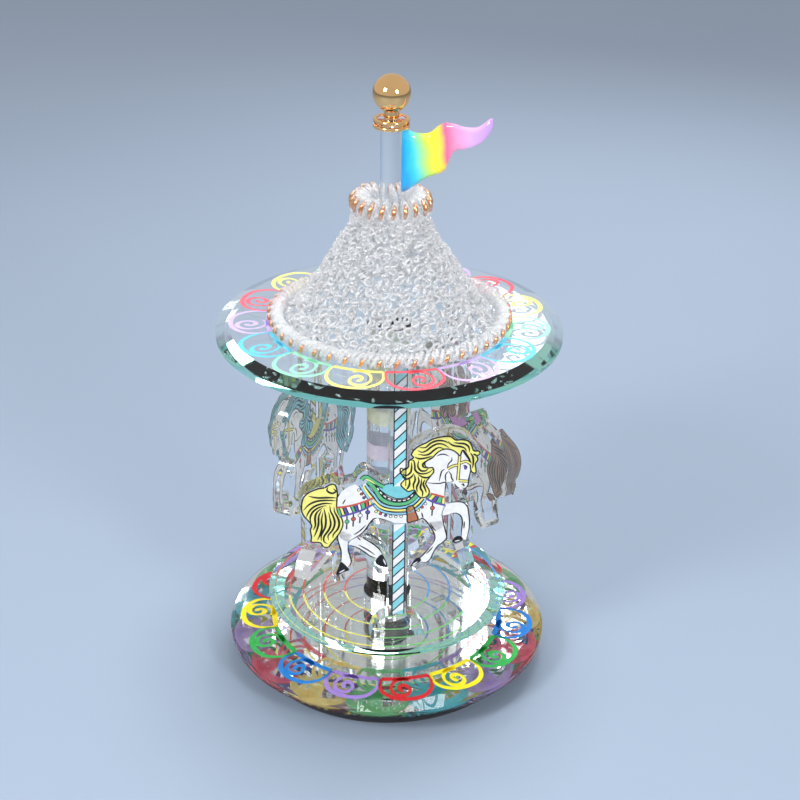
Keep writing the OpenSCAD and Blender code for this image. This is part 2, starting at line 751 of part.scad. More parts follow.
foot_pad();
bottom_cover();
cover_screws();
base_case();
bedplate();
bedplate_screws();
shaft_bush();
thrust_washer();
base_mirror();
comb_base();
comb();
comb_screws();
clutch_spring();
spring_barrel();
barrel_lid();
mainspring();
barrel_arbor();
key_boss();
key_ring();
center_shaft();
shaft_pinion();
center_wheel();
plateau_disc();
second_arbor();
second_wheel();
fly_arbor();
fly_vanes();
hub();
platform_disc();
column();
horse_front();
horse_right();
horse_left();
canopy_disc();
roof_shell();
roof_rim_coil();
roof_collar_coil();
mast();
mast_collar();
finial_ball();
flag();
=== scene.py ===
"""Looks of the carousel music box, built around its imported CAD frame. Metres, +Z up."""

import math
import random

import bmesh
import bpy
from mathutils import Matrix, Vector
from mathutils.geometry import tessellate_polygon


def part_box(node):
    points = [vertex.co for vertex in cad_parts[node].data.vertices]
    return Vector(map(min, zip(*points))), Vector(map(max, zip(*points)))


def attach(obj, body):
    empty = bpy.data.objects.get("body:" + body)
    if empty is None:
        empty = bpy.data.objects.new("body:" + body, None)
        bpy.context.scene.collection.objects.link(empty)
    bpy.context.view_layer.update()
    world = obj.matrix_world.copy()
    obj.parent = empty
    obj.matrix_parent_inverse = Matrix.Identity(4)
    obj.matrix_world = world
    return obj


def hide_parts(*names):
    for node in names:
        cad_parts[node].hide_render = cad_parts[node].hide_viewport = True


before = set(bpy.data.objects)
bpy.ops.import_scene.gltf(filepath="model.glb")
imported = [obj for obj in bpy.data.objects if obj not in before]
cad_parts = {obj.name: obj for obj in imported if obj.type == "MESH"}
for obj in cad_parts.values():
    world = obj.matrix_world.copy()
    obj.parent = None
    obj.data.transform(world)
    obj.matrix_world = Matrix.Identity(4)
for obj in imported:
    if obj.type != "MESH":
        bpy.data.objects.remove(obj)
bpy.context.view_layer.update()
MM = 0.001
TAU = 2 * math.pi

# ---------------- places, from the frame


def low(node):
    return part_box(node)[0]


def high(node):
    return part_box(node)[1]


BASE_TOP = high("base_mirror").z
BASE_BOTTOM = low("base_mirror").z
BASE_R = high("base_mirror").x
PLATFORM_BOTTOM = low("platform_disc").z
PLATFORM_TOP = high("platform_disc").z
CANOPY_BOTTOM = low("canopy_disc").z
CANOPY_TOP = high("canopy_disc").z
COLUMN_R = high("column").x
ROOF_TOP = high("roof_shell").z
MAST_TOP = high("mast").z
MAST_R = high("mast").x
FLAG_LOW = low("flag")
FLAG_HIGH = high("flag")

POLE_RING_R = 26.5 * MM
PLATE_T = 5.5 * MM
FRONT_ANGLE = -83
RIGHT_ANGLE = 35
LEFT_ANGLE = 158
BELLY_Z = {
    "front": PLATFORM_TOP + 40.5 * MM,
    "right": PLATFORM_TOP + 41.5 * MM,
    "left": PLATFORM_TOP + 40 * MM,
}
INK_LIFT = 0.03 * MM

# ---------------- nodes of a material


def new_material(name):
    material = bpy.data.materials.new(name)
    material.use_nodes = True
    tree = material.node_tree
    return material, tree, tree.nodes["Principled BSDF"]


def node(tree, kind, **values):
    made = tree.nodes.new(kind)
    for key, value in values.items():
        if key in made.inputs:
            made.inputs[key].default_value = value
        else:
            setattr(made, key, value)
    return made


def coordinates(tree):
    return node(tree, "ShaderNodeTexCoord").outputs["Object"]


def darker(colour, share):
    return tuple(c * share for c in colour)


def noise(tree, scale, detail=3.0, rough=0.5):
    made = node(tree, "ShaderNodeTexNoise", Scale=scale, Detail=detail, Roughness=rough)
    tree.links.new(coordinates(tree), made.inputs["Vector"])
    return made.outputs["Fac"]


def ramp(tree, source, stops):
    made = node(tree, "ShaderNodeValToRGB")
    elements = made.color_ramp.elements
    while len(elements) < len(stops):
        elements.new(0.5)
    for element, (place, colour) in zip(elements, stops):
        element.position = place
        element.color = (*colour, 1)
    tree.links.new(source, made.inputs["Fac"])
    return made.outputs["Color"]


def mapped(tree, source, lowest, highest, from_low=0, from_high=1):
    """source stretched so that from_low to from_high becomes lowest to highest."""
    made = node(tree, "ShaderNodeMapRange")
    made.inputs["From Min"].default_value = from_low
    made.inputs["From Max"].default_value = from_high
    made.inputs["To Min"].default_value = lowest
    made.inputs["To Max"].default_value = highest
    tree.links.new(source, made.inputs["Value"])
    return made.outputs["Result"]


def tinted(tree, shader, source, stops):
    tint = ramp(tree, source, stops)
    tree.links.new(tint, shader.inputs["Base Color"])
    return tint


def set_range(tree, source, lowest, highest, socket):
    tree.links.new(mapped(tree, source, lowest, highest), socket)


def total(tree, first, second):
    made = node(tree, "ShaderNodeMath", operation="ADD")
    tree.links.new(first, made.inputs[0])
    tree.links.new(second, made.inputs[1])
    return made.outputs["Value"]


def bump(tree, shader, source, depth, strength=0.5):
    made = node(tree, "ShaderNodeBump", Strength=strength, Distance=depth)
    tree.links.new(source, made.inputs["Height"])
    tree.links.new(made.outputs["Normal"], shader.inputs["Normal"])


def absorb(tree, colour, density):
    made = node(tree, "ShaderNodeVolumeAbsorption", Color=(*colour, 1), Density=density)
    tree.links.new(made.outputs["Volume"], tree.nodes["Material Output"].inputs["Volume"])


# ---------------- materials


def glass(name, tint=(1, 1, 1), ior=1.5, absorb_colour=None, density=0, waves=0.0, rough=0.0):
    """Clear glass: faint waves from its making, and smudges that dull its gloss a little."""
    material, tree, shader = new_material(name)
    shader.inputs["Base Color"].default_value = (*tint, 1)
    shader.inputs["Transmission Weight"].default_value = 1
    shader.inputs["IOR"].default_value = ior
    set_range(tree, noise(tree, 90), rough, rough + 0.025, shader.inputs["Roughness"])
    if waves:
        bump(tree, shader, noise(tree, 260, 2), waves, 0.35)
    if density:
        absorb(tree, absorb_colour, density)
    return material


def metal(name, colour, rough, grain_scale, wear=0.06, grain=0.00002):
    """Polished metal: brighter and duller patches, and a fine grain."""
    material, tree, shader = new_material(name)
    shader.inputs["Metallic"].default_value = 1
    tinted(tree, shader, noise(tree, 120), [(0.3, darker(colour, 0.86)), (0.7, colour)])
    set_range(tree, noise(tree, 400), rough, rough + wear, shader.inputs["Roughness"])
    bump(tree, shader, noise(tree, grain_scale, 4), grain, 0.3)
    return material


def brushed(name, colour, rough):
    """Metal with a grain that runs round the vertical axis."""
    material, tree, shader = new_material(name)
    shader.inputs["Metallic"].default_value = 1
    rings = node(tree, "ShaderNodeTexWave", wave_type="RINGS", rings_direction="Z")
    rings.inputs["Scale"].default_value = 900
    rings.inputs["Distortion"].default_value = 4
    tree.links.new(coordinates(tree), rings.inputs["Vector"])
    tinted(tree, shader, noise(tree, 150), [(0.3, darker(colour, 0.8)), (0.7, colour)])
    set_range(tree, rings.outputs["Fac"], rough, rough + 0.12, shader.inputs["Roughness"])
    bump(tree, shader, rings.outputs["Fac"], 0.00001, 0.3)
    return material


def lacquer(name, colour, rough, coat=0.6):
    """Glossy black lacquer with orange peel and faint dust."""
    material, tree, shader = new_material(name)
    light = tuple(c + 0.012 for c in colour)
    tinted(tree, shader, noise(tree, 300, 5), [(0.35, colour), (0.8, light)])
    set_range(tree, noise(tree, 140), rough, rough + 0.12, shader.inputs["Roughness"])
    shader.inputs["Coat Weight"].default_value = coat
    shader.inputs["Coat Roughness"].default_value = 0.08
    bump(tree, shader, noise(tree, 1400), 0.00003, 0.25)
    return material


def felt(name, colour):
    """Pressed wool: tangled fibres, matt, with a soft sheen."""
    material, tree, shader = new_material(name)
    light = tuple(c * 2.2 + 0.01 for c in colour)
    tinted(tree, shader, noise(tree, 2600, 6, 0.7), [(0.35, colour), (0.75, light)])
    shader.inputs["Roughness"].default_value = 0.95
    shader.inputs["Sheen Weight"].default_value = 0.4
    bump(tree, shader, noise(tree, 3200, 5, 0.8), 0.00012, 0.8)
    return material


def nylon(name, colour):
    material, tree, shader = new_material(name)
    tinted(tree, shader, noise(tree, 200), [(0.3, darker(colour, 0.9)), (0.7, colour)])
    set_range(tree, noise(tree, 800), 0.35, 0.5, shader.inputs["Roughness"])
    shader.inputs["Subsurface Weight"].default_value = 0.15
    bump(tree, shader, noise(tree, 900), 0.00002, 0.3)
    return material


def ink(name, colour, see_through=0.0, painted_glow=0.0, rough=0.3):
    """Screen-printed ink: an uneven film with pinholes, that lets part of the light through."""
    material, tree, shader = new_material(name)
    stops = [(0.3, darker(colour, 0.86)), (0.65, colour)]
    tint = tinted(tree, shader, noise(tree, 700, 4), stops)
    set_range(tree, noise(tree, 500), rough, rough + 0.15, shader.inputs["Roughness"])
    shader.inputs["Specular IOR Level"].default_value = 0.4
    bump(tree, shader, noise(tree, 1500), 0.000008, 0.3)
    # Painted glow: the ink emits its own colour, though it is no lamp.
    if painted_glow:
        tree.links.new(tint, shader.inputs["Emission Color"])
        shader.inputs["Emission Strength"].default_value = painted_glow
    if see_through:
        set_range(tree, noise(tree, 600), 1 - see_through - 0.06, 1 - see_through + 0.06,
                  shader.inputs["Alpha"])
    return material


MIRROR_SILVER = metal("mirror_silver", (0.90, 0.86, 0.87), 0.02, 60, 0.03, 0.000002)
BASE_GLASS = glass("base_glass", (1, 1, 1), 1.5, (0.45, 0.88, 0.74), 16)
DISC_GLASS = glass("disc_glass", (1, 1, 1), 1.5, (0.40, 0.90, 0.78), 18)
HUB_GLASS = glass("hub_glass", (1, 1, 1), 1.5, (0.7, 0.95, 0.85), 10, 0.0002)
ROD_GLASS = glass("rod_glass", (1, 1, 1), 1.48, (0.8, 0.95, 0.9), 8, 0.00006)
ACRYLIC = glass("acrylic", (0.99, 1, 1), 1.49, (0.85, 0.97, 0.95), 8, 0.00003)
GOLD = metal("gold", (1.0, 0.62, 0.27), 0.03, 500, 0.04)
COPPER_GOLD = metal("copper_gold", (0.95, 0.46, 0.20), 0.10, 900, 0.10)
BRASS = brushed("brass", (0.80, 0.58, 0.25), 0.18)
STEEL = brushed("steel", (0.60, 0.61, 0.64), 0.22)
SCREW_STEEL = metal("screw_steel", (0.72, 0.72, 0.74), 0.2, 1200)
BLUE_STEEL = metal("blue_steel", (0.10, 0.16, 0.34), 0.2, 900)
CASE_BLACK = lacquer("case_black", (0.012, 0.012, 0.014), 0.25)
FELT = felt("felt", (0.012, 0.012, 0.015))
NYLON = nylon("nylon", (0.82, 0.81, 0.76))

CAD_MATERIALS = [
    (FELT, ["foot_pad"]),
    (CASE_BLACK, ["base_case", "bottom_cover"]),
    (SCREW_STEEL, ["cover_screws", "bedplate_screws"]),
    (BRASS, ["bedplate", "shaft_bush", "comb_base", "spring_barrel", "barrel_lid", "shaft_pinion",
             "center_wheel", "plateau_disc", "second_wheel", "fly_vanes"]),
    (STEEL, ["comb", "clutch_spring", "barrel_arbor", "center_shaft", "second_arbor", "fly_arbor"]),
    (BLUE_STEEL, ["comb_screws", "mainspring"]),
    (NYLON, ["thrust_washer"]),
    (GOLD, ["key_boss", "key_ring", "finial_ball"]),
    (BASE_GLASS, ["base_mirror"]),
    (HUB_GLASS, ["hub"]),
    (DISC_GLASS, ["platform_disc", "canopy_disc"]),
    (ROD_GLASS, ["column", "mast"]),
    (ACRYLIC, ["horse_front", "horse_right", "horse_left"]),
]


def paint_cad():
    for material, names in CAD_MATERIALS:
        for name in names:
            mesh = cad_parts[name].data
            mesh.materials.clear()
            mesh.materials.append(material)


# ---------------- mesh helpers


class Shape:
    """Collects vertices and faces of several parts for one mesh."""

    def __init__(self):
        self.verts = []
        self.faces = []
        self.marks = []

    def add(self, verts, faces, mark=0):
        start = len(self.verts)
        self.verts += [Vector(v) for v in verts]
        self.faces += [tuple(start + i for i in face) for face in faces]
        self.marks += [mark] * len(faces)

    def make(self, name, materials, body, slot, smooth=True):
        mesh = bpy.data.meshes.new(name)
        mesh.from_pydata([tuple(v) for v in self.verts], [], self.faces)
        for material in materials if isinstance(materials, list) else [materials]:
            mesh.materials.append(material)
        mesh.polygons.foreach_set("material_index", self.marks)
        if smooth:
            mesh.shade_smooth()
        mesh.update()
        made = bpy.data.objects.new(name, mesh)
        bpy.context.scene.collection.objects.link(made)
        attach(made, body)
        return made


def weld(made, distance):
    """Joins vertices that meet, so that a skin of two sides closes."""
    work = bmesh.new()
    work.from_mesh(made.data)
    bmesh.ops.remove_doubles(work, verts=work.verts, dist=distance)
    bmesh.ops.holes_fill(work, edges=[e for e in work.edges if e.is_boundary], sides=0)
    bmesh.ops.recalc_face_normals(work, faces=work.faces)
    work.to_mesh(made.data)
    work.free()
    made.data.shade_smooth()


def tube(shape, points, radius, sides=6, closed=False, mark=0):
    """A round tube along points. radius is a number, or a function of the share run, 0 to 1."""
    count = len(points)
    size = radius if callable(radius) else (lambda share: radius)
    path = [Vector(p) for p in points]

    def heading(i):
        if closed:
            return (path[(i + 1) % count] - path[i - 1]).normalized()
        return (path[min(i + 1, count - 1)] - path[max(i - 1, 0)]).normalized()

    across = heading(0).orthogonal().normalized()
    verts = []
    for i, point in enumerate(path):
        along = heading(i)
        across = (across - along * across.dot(along)).normalized()
        up = along.cross(across)
        r = size(i / (count - 1))
        for k in range(sides):
            a = TAU * k / sides
            verts.append(point + across * (r * math.cos(a)) + up * (r * math.sin(a)))
    faces = []
    for i in range(count if closed else count - 1):
        j = (i + 1) % count
        for k in range(sides):
            m = (k + 1) % sides
            faces.append((i * sides + k, i * sides + m, j * sides + m, j * sides + k))
    if not closed:
        faces.append(tuple(reversed(range(sides))))
        faces.append(tuple((count - 1) * sides + k for k in range(sides)))
    shape.add(verts, faces, mark)


def polar(r, degrees, z=0.0):
    a = math.radians(degrees)
    return Vector((r * math.cos(a), r * math.sin(a), z))


def spline(points, steps=4, closed=False):
    """A smooth line through points of the plane (Catmull-Rom)."""
    count = len(points)

    def at(i):
        return points[i % count] if closed else points[max(0, min(count - 1, i))]

    line = []
    for i in range(count if closed else count - 1):
        a, b, c, d = at(i - 1), at(i), at(i + 1), at(i + 2)
        for k in range(steps):
            t = k / steps
            line.append(tuple(
                0.5 * (2 * b[n] + (c[n] - a[n]) * t + (2 * a[n] - 5 * b[n] + 4 * c[n] - d[n]) * t * t
                       + (3 * b[n] - a[n] - 3 * c[n] + d[n]) * t ** 3)
                for n in range(2)))
    return line if closed else line + [tuple(points[-1])]


def stroke(line, width, closed=False, taper=False):
    """A pen line of that width as a strip of quads, in the plane."""
    count = len(line)
    verts = []
    for i, (x, y) in enumerate(line):
        before = line[i - 1] if closed or i > 0 else line[i]
        after = line[(i + 1) % count] if closed or i < count - 1 else line[i]
        along = Vector((after[0] - before[0], after[1] - before[1]))
        if along.length < 1e-9:
            along = Vector((1, 0))
        along.normalize()
        share = i / max(1, count - 1)
        half = width / 2 * (max(0.15, math.sin(math.pi * share) ** 0.6) if taper else 1)
        verts.append((x - along.y * half, y + along.x * half))
        verts.append((x + along.y * half, y - along.x * half))
    faces = []
    for i in range(count if closed else count - 1):
        j = (i + 1) % count
        faces.append((2 * i, 2 * j, 2 * j + 1, 2 * i + 1))
    return verts, faces


def fill(line, holes=()):
    """A flat filled outline, with holes, in the plane."""
    loops = [[Vector((x, y, 0)) for x, y in loop] for loop in [line, *holes]]
    verts = [(v.x, v.y) for loop in loops for v in loop]
    return verts, [tuple(face) for face in tessellate_polygon(loops)]


# ---------------- spirals on the glass discs

SPIRAL_STEP = 24
SPIRAL_TURNS = 1.65
SPIRAL_START = math.radians(128)
SPIRAL_CENTRE = (-0.14, 0.5)
SPIRAL_R = 0.46
PRINT_FORESHORTENING = 0.55


def spiral_motif():
    """Pen lines of one printed motif: x runs along the ring, from -1 to 1, and y runs outwards,
    from 0 to 1. One scallop, closed by a straight edge, holds one spiral."""
    scallop = [(1, 0), (0.99, 0.3), (0.86, 0.62), (0.55, 0.9), (0.1, 1), (-0.4, 0.93),
               (-0.78, 0.68), (-0.94, 0.36), (-0.9, 0)]
    edge = [(1, 0), (0.5, 0), (0, 0), (-0.5, 0), (-0.9, 0)]
    middle_x, middle_y = SPIRAL_CENTRE
    coil = []
    steps = 48
    for i in range(steps + 1):
        share = i / steps
        a = SPIRAL_START - TAU * SPIRAL_TURNS * share
        r = SPIRAL_R * (1 - share) ** 1.15 + 0.05
        coil.append((middle_x - r * math.cos(a), middle_y - r * math.sin(a)))
    return [spline(scallop, 6), edge, coil]


def print_ring(name, body, slot, z, r_in, r_out, first, materials, pen, mirrored=False):
    """A ring of motifs, one every 24 degrees from the angle first, bent round the disc. Its pen
    lines are drawn with the height foreshortened, so they come out wider along the radius."""
    tall = (r_out - r_in) / MM * PRINT_FORESHORTENING
    wide = math.radians(SPIRAL_STEP) * (r_in + r_out) / 2 / MM
    shape = Shape()
    for k in range(round(360 / SPIRAL_STEP)):
        centre = first + k * SPIRAL_STEP
        for line in spiral_motif():
            page = [(x * wide / 2, y * tall) for x, y in line]
            verts, faces = stroke(page, pen)
            placed = []
            for x, y in verts:
                side = -x if mirrored else x
                r = r_in + y / tall * (r_out - r_in)
                placed.append(polar(r, centre + side / wide * SPIRAL_STEP, z))
            shape.add(placed, faces, k % len(materials))
    return shape.make(name, materials, body, slot, smooth=False)


BASE_COLOURS = {
    "red": (0.62, 0.02, 0.03), "yellow": (0.95, 0.80, 0.02), "green": (0.03, 0.42, 0.08),
    "blue": (0.01, 0.20, 0.62), "purple": (0.34, 0.22, 0.62),
}
LOWER_COLOURS = {
    "cyan": (0.10, 0.58, 0.70), "purple": (0.50, 0.36, 0.72), "red": (0.80, 0.12, 0.20),
    "yellow": (0.92, 0.74, 0.25), "green": (0.20, 0.62, 0.28),
}
CANOPY_COLOURS = {
    "red": (0.80, 0.10, 0.14), "purple": (0.55, 0.42, 0.75), "cyan": (0.10, 0.55, 0.72),
    "green": (0.30, 0.72, 0.50), "yellow": (0.88, 0.80, 0.22),
}


def inks(prefix, colours, see_through=0.0, painted_glow=0.0):
    return [ink(prefix + name, colour, see_through, painted_glow) for name, colour in colours.items()]


# Each ring's inks carry a painted glow of their own colour; the canopy's is the strongest.
BASE_INKS = inks("print_", BASE_COLOURS, painted_glow=0.12)
LOWER_INKS = inks("lower_", LOWER_COLOURS, 0.25, 0.15)
RIM_INKS = inks("rim_", LOWER_COLOURS, 0.35, 0.1)
CANOPY_INKS = inks("canopy_", CANOPY_COLOURS, 0.12, 0.3)


def mirror_coat():
    """The silver behind the base glass, with a hole for the shaft."""
    shape = Shape()
    inner = 1.9 * MM
    outer = BASE_R - 0.4 * MM
    count = 180
    z = BASE_BOTTOM + 0.06 * MM
    verts = [polar(r, 360 * k / count, z) for k in range(count) for r in (inner, outer)]
    faces = [(2 * k, 2 * k + 1, (2 * k + 3) % (2 * count), (2 * k + 2) % (2 * count))
             for k in range(count)]
    shape.add(verts, faces)
    return shape.make("mirror_coat", MIRROR_SILVER, "base", "mirror_glass", smooth=False)


def base_prints():
    """One ring on the glass, and two more behind it, on the silvered back."""
    print_ring("base_spirals", "base", "mirror_glass", BASE_TOP + INK_LIFT, r_in=36.6 * MM,
               r_out=46.7 * MM, first=-81, materials=BASE_INKS, pen=0.95)
    print_ring("base_spirals_lower", "base", "mirror_glass", BASE_BOTTOM + 0.4 * MM, r_in=30.5 * MM,
               r_out=41 * MM, first=-69, materials=LOWER_INKS, pen=0.85)
    print_ring("base_spirals_rim", "base", "mirror_glass", BASE_BOTTOM + 0.25 * MM, r_in=42.5 * MM,
               r_out=48.4 * MM, first=-69, materials=RIM_INKS, pen=1.5)


def canopy_prints():
    print_ring("canopy_spirals", "carousel", "disc_glass", CANOPY_TOP + INK_LIFT, r_in=36 * MM,
               r_out=47 * MM, first=-79, materials=CANOPY_INKS, pen=0.8, mirrored=True)


# Each colour of the platform's circles runs from one angle to another, in degrees. The radii
# are in millimetres, and past the bevel's inner edge the platform's underside rises.
RING_SECTORS = [
    (120, 188, (0.70, 0.10, 0.08)),
    (188, 264, (0.95, 0.85, 0.12)),
    (264, 340, (0.18, 0.62, 0.14)),
    (340, 410, (0.06, 0.30, 0.72)),
    (410, 480, (0.40, 0.26, 0.62)),
]
RING_RADII = [6.8, 13.6, 20.4, 27.1, 31.6, 36.4]
RING_PEN = 0.6 * MM
PLATFORM_BEVEL_R = 33.3
PLATFORM_BEVEL_RISE = 3.4 / 4.8


def platform_prints():
    """Thin circles under the platform, each in five colours."""
    tones = {str(i): colour for i, (_, _, colour) in enumerate(RING_SECTORS)}
    shape = Shape()
    for r in RING_RADII:
        rise = max(0, r - PLATFORM_BEVEL_R) * PLATFORM_BEVEL_RISE * MM
        for mark, (start, end, _) in enumerate(RING_SECTORS):
            steps = 28
            line = [polar(r * MM, start + (end - start) * i / steps) for i in range(steps + 1)]
            verts, faces = stroke([(p.x, p.y) for p in line], RING_PEN)
            level = PLATFORM_BOTTOM + rise - 3 * INK_LIFT
            shape.add([(x, y, level) for x, y in verts], faces, mark)
    # The circles carry a strong painted glow of their own colour.
    shape.make("platform_circles", inks("circle_", tones, painted_glow=0.6), "carousel", "disc_glass",
               smooth=False)


# ---------------- column bands

BAND_TONES = [
    (0.86, 0.88, 0.52), (0.86, 0.86, 0.50), (0.84, 0.82, 0.52), (0.74, 0.60, 0.74), (0.62, 0.72, 0.86),
    (0.62, 0.80, 0.80), (0.70, 0.86, 0.74),
]
BAND_TALL = 5.2 * MM
BAND_DROP = 2.6 * MM
BAND_FIRST_PITCH = 11.4 * MM
BAND_PITCH = 12.4 * MM


def column_bands():
    """Pastel bands printed round the column, each with a gently waved edge."""
    count = 64
    shape = Shape()
    for k in range(len(BAND_TONES)):
        middle = CANOPY_BOTTOM - BAND_DROP
        if k > 0:
            middle -= BAND_FIRST_PITCH + BAND_PITCH * (k - 1)
        verts = []
        for i in range(count):
            a = 360 * i / count
            sway = 0.45 * MM * math.sin(math.radians(2 * a + 70 * k))
            for edge in (-0.5, 0.5):
                z = min(CANOPY_BOTTOM - 0.05 * MM, middle + BAND_TALL * edge + sway)
                verts.append(polar(COLUMN_R + INK_LIFT, a, z))
        faces = [(2 * i, (2 * i + 2) % (2 * count), (2 * i + 3) % (2 * count), 2 * i + 1)
                 for i in range(count)]
        shape.add(verts, faces, k)
    tones = {str(i): tone for i, tone in enumerate(BAND_TONES)}
    shape.make("column_bands", inks("band_", tones, 0.35), "carousel", "rod_glass")


# ---------------- roof of spun glass

ROOF_PROFILE = [
    (31.6, 0.6), (27.0, 5.5), (23.4, 10), (20.8, 14.3), (18.0, 19.3), (14.6, 24.3), (11.6, 29.5),
    (10.3, 33.5),
]


def spun_glass(name, milk, painted_thread_glow):
    """Thin drawn glass: clear, with a milky share, and a painted glow in patches along its thread, though
    it is no lamp.
    """
    material, tree, shader = new_material(name)
    shader.inputs["IOR"].default_value = 1.5
    stops = [(0.3, (0.92, 0.93, 0.95)), (0.7, (1, 1, 1))]
    tint = tinted(tree, shader, noise(tree, 500), stops)
    # Painted glow: the thread emits a pale white in noise patches.
    tree.links.new(tint, shader.inputs["Emission Color"])
    set_range(tree, noise(tree, 800, 2), 0, painted_thread_glow, shader.inputs["Emission Strength"])
    set_range(tree, noise(tree, 900, 2), max(0, 1 - milk - 0.25), min(1, 1 - milk + 0.25),
              shader.inputs["Transmission Weight"])
    set_range(tree, noise(tree, 600), 0.02, 0.10, shader.inputs["Roughness"])
    bump(tree, shader, noise(tree, 700, 2), 0.0002, 0.4)
    return material


# Each of these carries a painted glow; the inner lace's is the weakest.
LACE = spun_glass("spun_glass", 0.26, 0.08)
LACE_INNER = spun_glass("spun_glass_inner", 0.12, 0.06)
COIL_GLASS = spun_glass("coil_glass", 0.15, 0.1)


def roof_point(share, degrees, lift=0.0):
    """A point of the roof: share runs from the foot, 0, to the neck, 1."""
    place = share * (len(ROOF_PROFILE) - 1)
    i = min(int(place), len(ROOF_PROFILE) - 2)
    t = place - i
    r = ROOF_PROFILE[i][0] * (1 - t) + ROOF_PROFILE[i + 1][0] * t
    z = ROOF_PROFILE[i][1] * (1 - t) + ROOF_PROFILE[i + 1][1] * t
    return polar((r + lift) * MM, degrees, CANOPY_TOP + z * MM)


def lace_loops(name, material, rows, pitch, lift, seed, wire, size_range):
    """Small loops of glass thread, tumbled and fused to each other all over the roof."""
    rng = random.Random(seed)
    shape = Shape()
    steps = 11
    gap_share = 0.07
    for row in range(rows):
        share = (row + 0.5) / rows
        r_here = roof_point(share, 0).xy.length / MM
        loops = max(8, round(TAU * r_here / pitch))
        shift = rng.random()
        for k in range(loops):
            if rng.random() < gap_share:
                continue
            angle = 360 * (k + shift + 0.5 * (rng.random() - 0.5)) / loops
            place = min(0.985, max(0.012, share + (rng.random() - 0.5) / rows))
            centre = roof_point(place, angle, lift + 0.7 * (rng.random() - 0.5))
            normal = (polar(1, angle) + Vector((0, 0, 0.8))).normalized()
            lean = Vector((rng.gauss(0, 1), rng.gauss(0, 1), rng.gauss(0, 1)))
            axis = (normal + lean * 0.55).normalized()
            across = axis.orthogonal().normalized()
            up = axis.cross(across)
            turn = rng.random() * TAU
            r1 = rng.uniform(*size_range) * MM
            r2 = r1 * rng.uniform(0.6, 0.95)
            ring = []
            for i in range(steps):
                a = TAU * i / steps + turn
                bend = axis * (0.25 * MM * math.sin(2 * a))
                ring.append(centre + across * (r1 * math.cos(a)) + up * (r2 * math.sin(a)) + bend)
            tube(shape, ring, wire * rng.uniform(0.8, 1.25) * MM, 5, closed=True)
    return shape.make(name, material, "carousel", "lace_glass")


def roof():
    outer = lace_loops("roof_lace_outer", LACE, rows=20, pitch=2.3, lift=-0.1, seed=11, wire=0.38,
                       size_range=(0.9, 1.5))
    lace_loops("roof_lace_inner", LACE_INNER, rows=14, pitch=3.2, lift=-1.4, seed=23, wire=0.38,
               size_range=(1.2, 1.8))
    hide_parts("roof_shell")


COIL_STEPS = 16


def coil(turns, ring_r, z, coil_r, coil_h, seed, phase=0.0, jitter=0.2):
    """A closed line that coils round a ring. Each turn has a size of its own."""
    rng = random.Random(seed)
    sizes = [1 + jitter * (rng.random() - 0.5) for _ in range(turns)]
    line = []
    for i in range(turns * COIL_STEPS):
        k = i // COIL_STEPS
        mix = i % COIL_STEPS / COIL_STEPS
        turn = TAU * mix + phase
        size = sizes[k] * (1 - mix) + sizes[(k + 1) % turns] * mix
        r = ring_r + coil_r * size * math.cos(turn)
        around = 360 * i / (turns * COIL_STEPS)
        line.append(polar(r * MM, around, z + coil_h * size * MM * math.sin(turn)))
    return line


def gild(shape, line, wire, first, reach=2):
    """A gilded tip on each turn of a coil, reach steps to each side of its step number first."""
    def thickness(share):
        return wire * (0.35 + 0.65 * math.sin(math.pi * share) ** 0.5)

    for middle in range(first, len(line), COIL_STEPS):
        tip = [line[(middle + n) % len(line)] for n in range(-reach, reach + 1)]
        tube(shape, tip, thickness, 7)


RIM_TURNS = 46


def rim_coil():
    """The rope of glass loops round the roof's foot."""
    z = CANOPY_TOP + 2.3 * MM
    rope = coil(RIM_TURNS, 34.1, z, 1.75, 1.7, seed=3, jitter=0.15)
    behind = coil(RIM_TURNS, 33.6, z, 1.65, 1.6, seed=5, phase=2.1)
    innermost = coil(RIM_TURNS, 33.2, z + 0.2 * MM, 1.5, 1.6, seed=7, phase=4.2)
    loops = Shape()
    for line, wire in ((rope, 0.55), (behind, 0.5), (innermost, 0.45)):
        tube(loops, line, wire * MM, 7, closed=True)
    tips = Shape()
    gild(tips, rope, 0.62 * MM, first=0)
    made = loops.make("rim_rope", COIL_GLASS, "carousel", "coil_glass")
    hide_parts("roof_rim_coil")
    tips.make("rim_tips", COPPER_GOLD, "carousel", "gold")


def collar_coil():
    """The ruffle of standing loops at the roof's neck."""
    z = ROOF_TOP + 3.4 * MM
    ruffle = coil(21, 9.0, z, 2.7, 3.2, seed=13, jitter=0.25)
    behind = coil(19, 8.4, z - 0.6 * MM, 2.2, 2.8, seed=17, phase=2.4, jitter=0.25)
    loops = Shape()
    tube(loops, ruffle, 0.62 * MM, 7, closed=True)
    tube(loops, behind, 0.55 * MM, 7, closed=True)
    tips = Shape()
    gild(tips, ruffle, 0.68 * MM, first=1)
    made = loops.make("collar_ruffle", COIL_GLASS, "carousel", "coil_glass")
    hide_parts("roof_collar_coil")
    tips.make("collar_tips", COPPER_GOLD, "carousel", "gold")


# ---------------- mast, collar and flag


def turned(shape, profile, z, count=64, mark=0):
    """A closed body of revolution. profile is a closed list of (r, z) in millimetres."""
    verts = [polar(r * MM, 360 * i / count, z + h * MM) for i in range(count) for r, h in profile]
    n = len(profile)
    faces = [(i * n + k, ((i + 1) % count) * n + k, ((i + 1) % count) * n + (k + 1) % n,
              i * n + (k + 1) % n) for i in range(count) for k in range(n)]
    shape.add(verts, faces, mark)


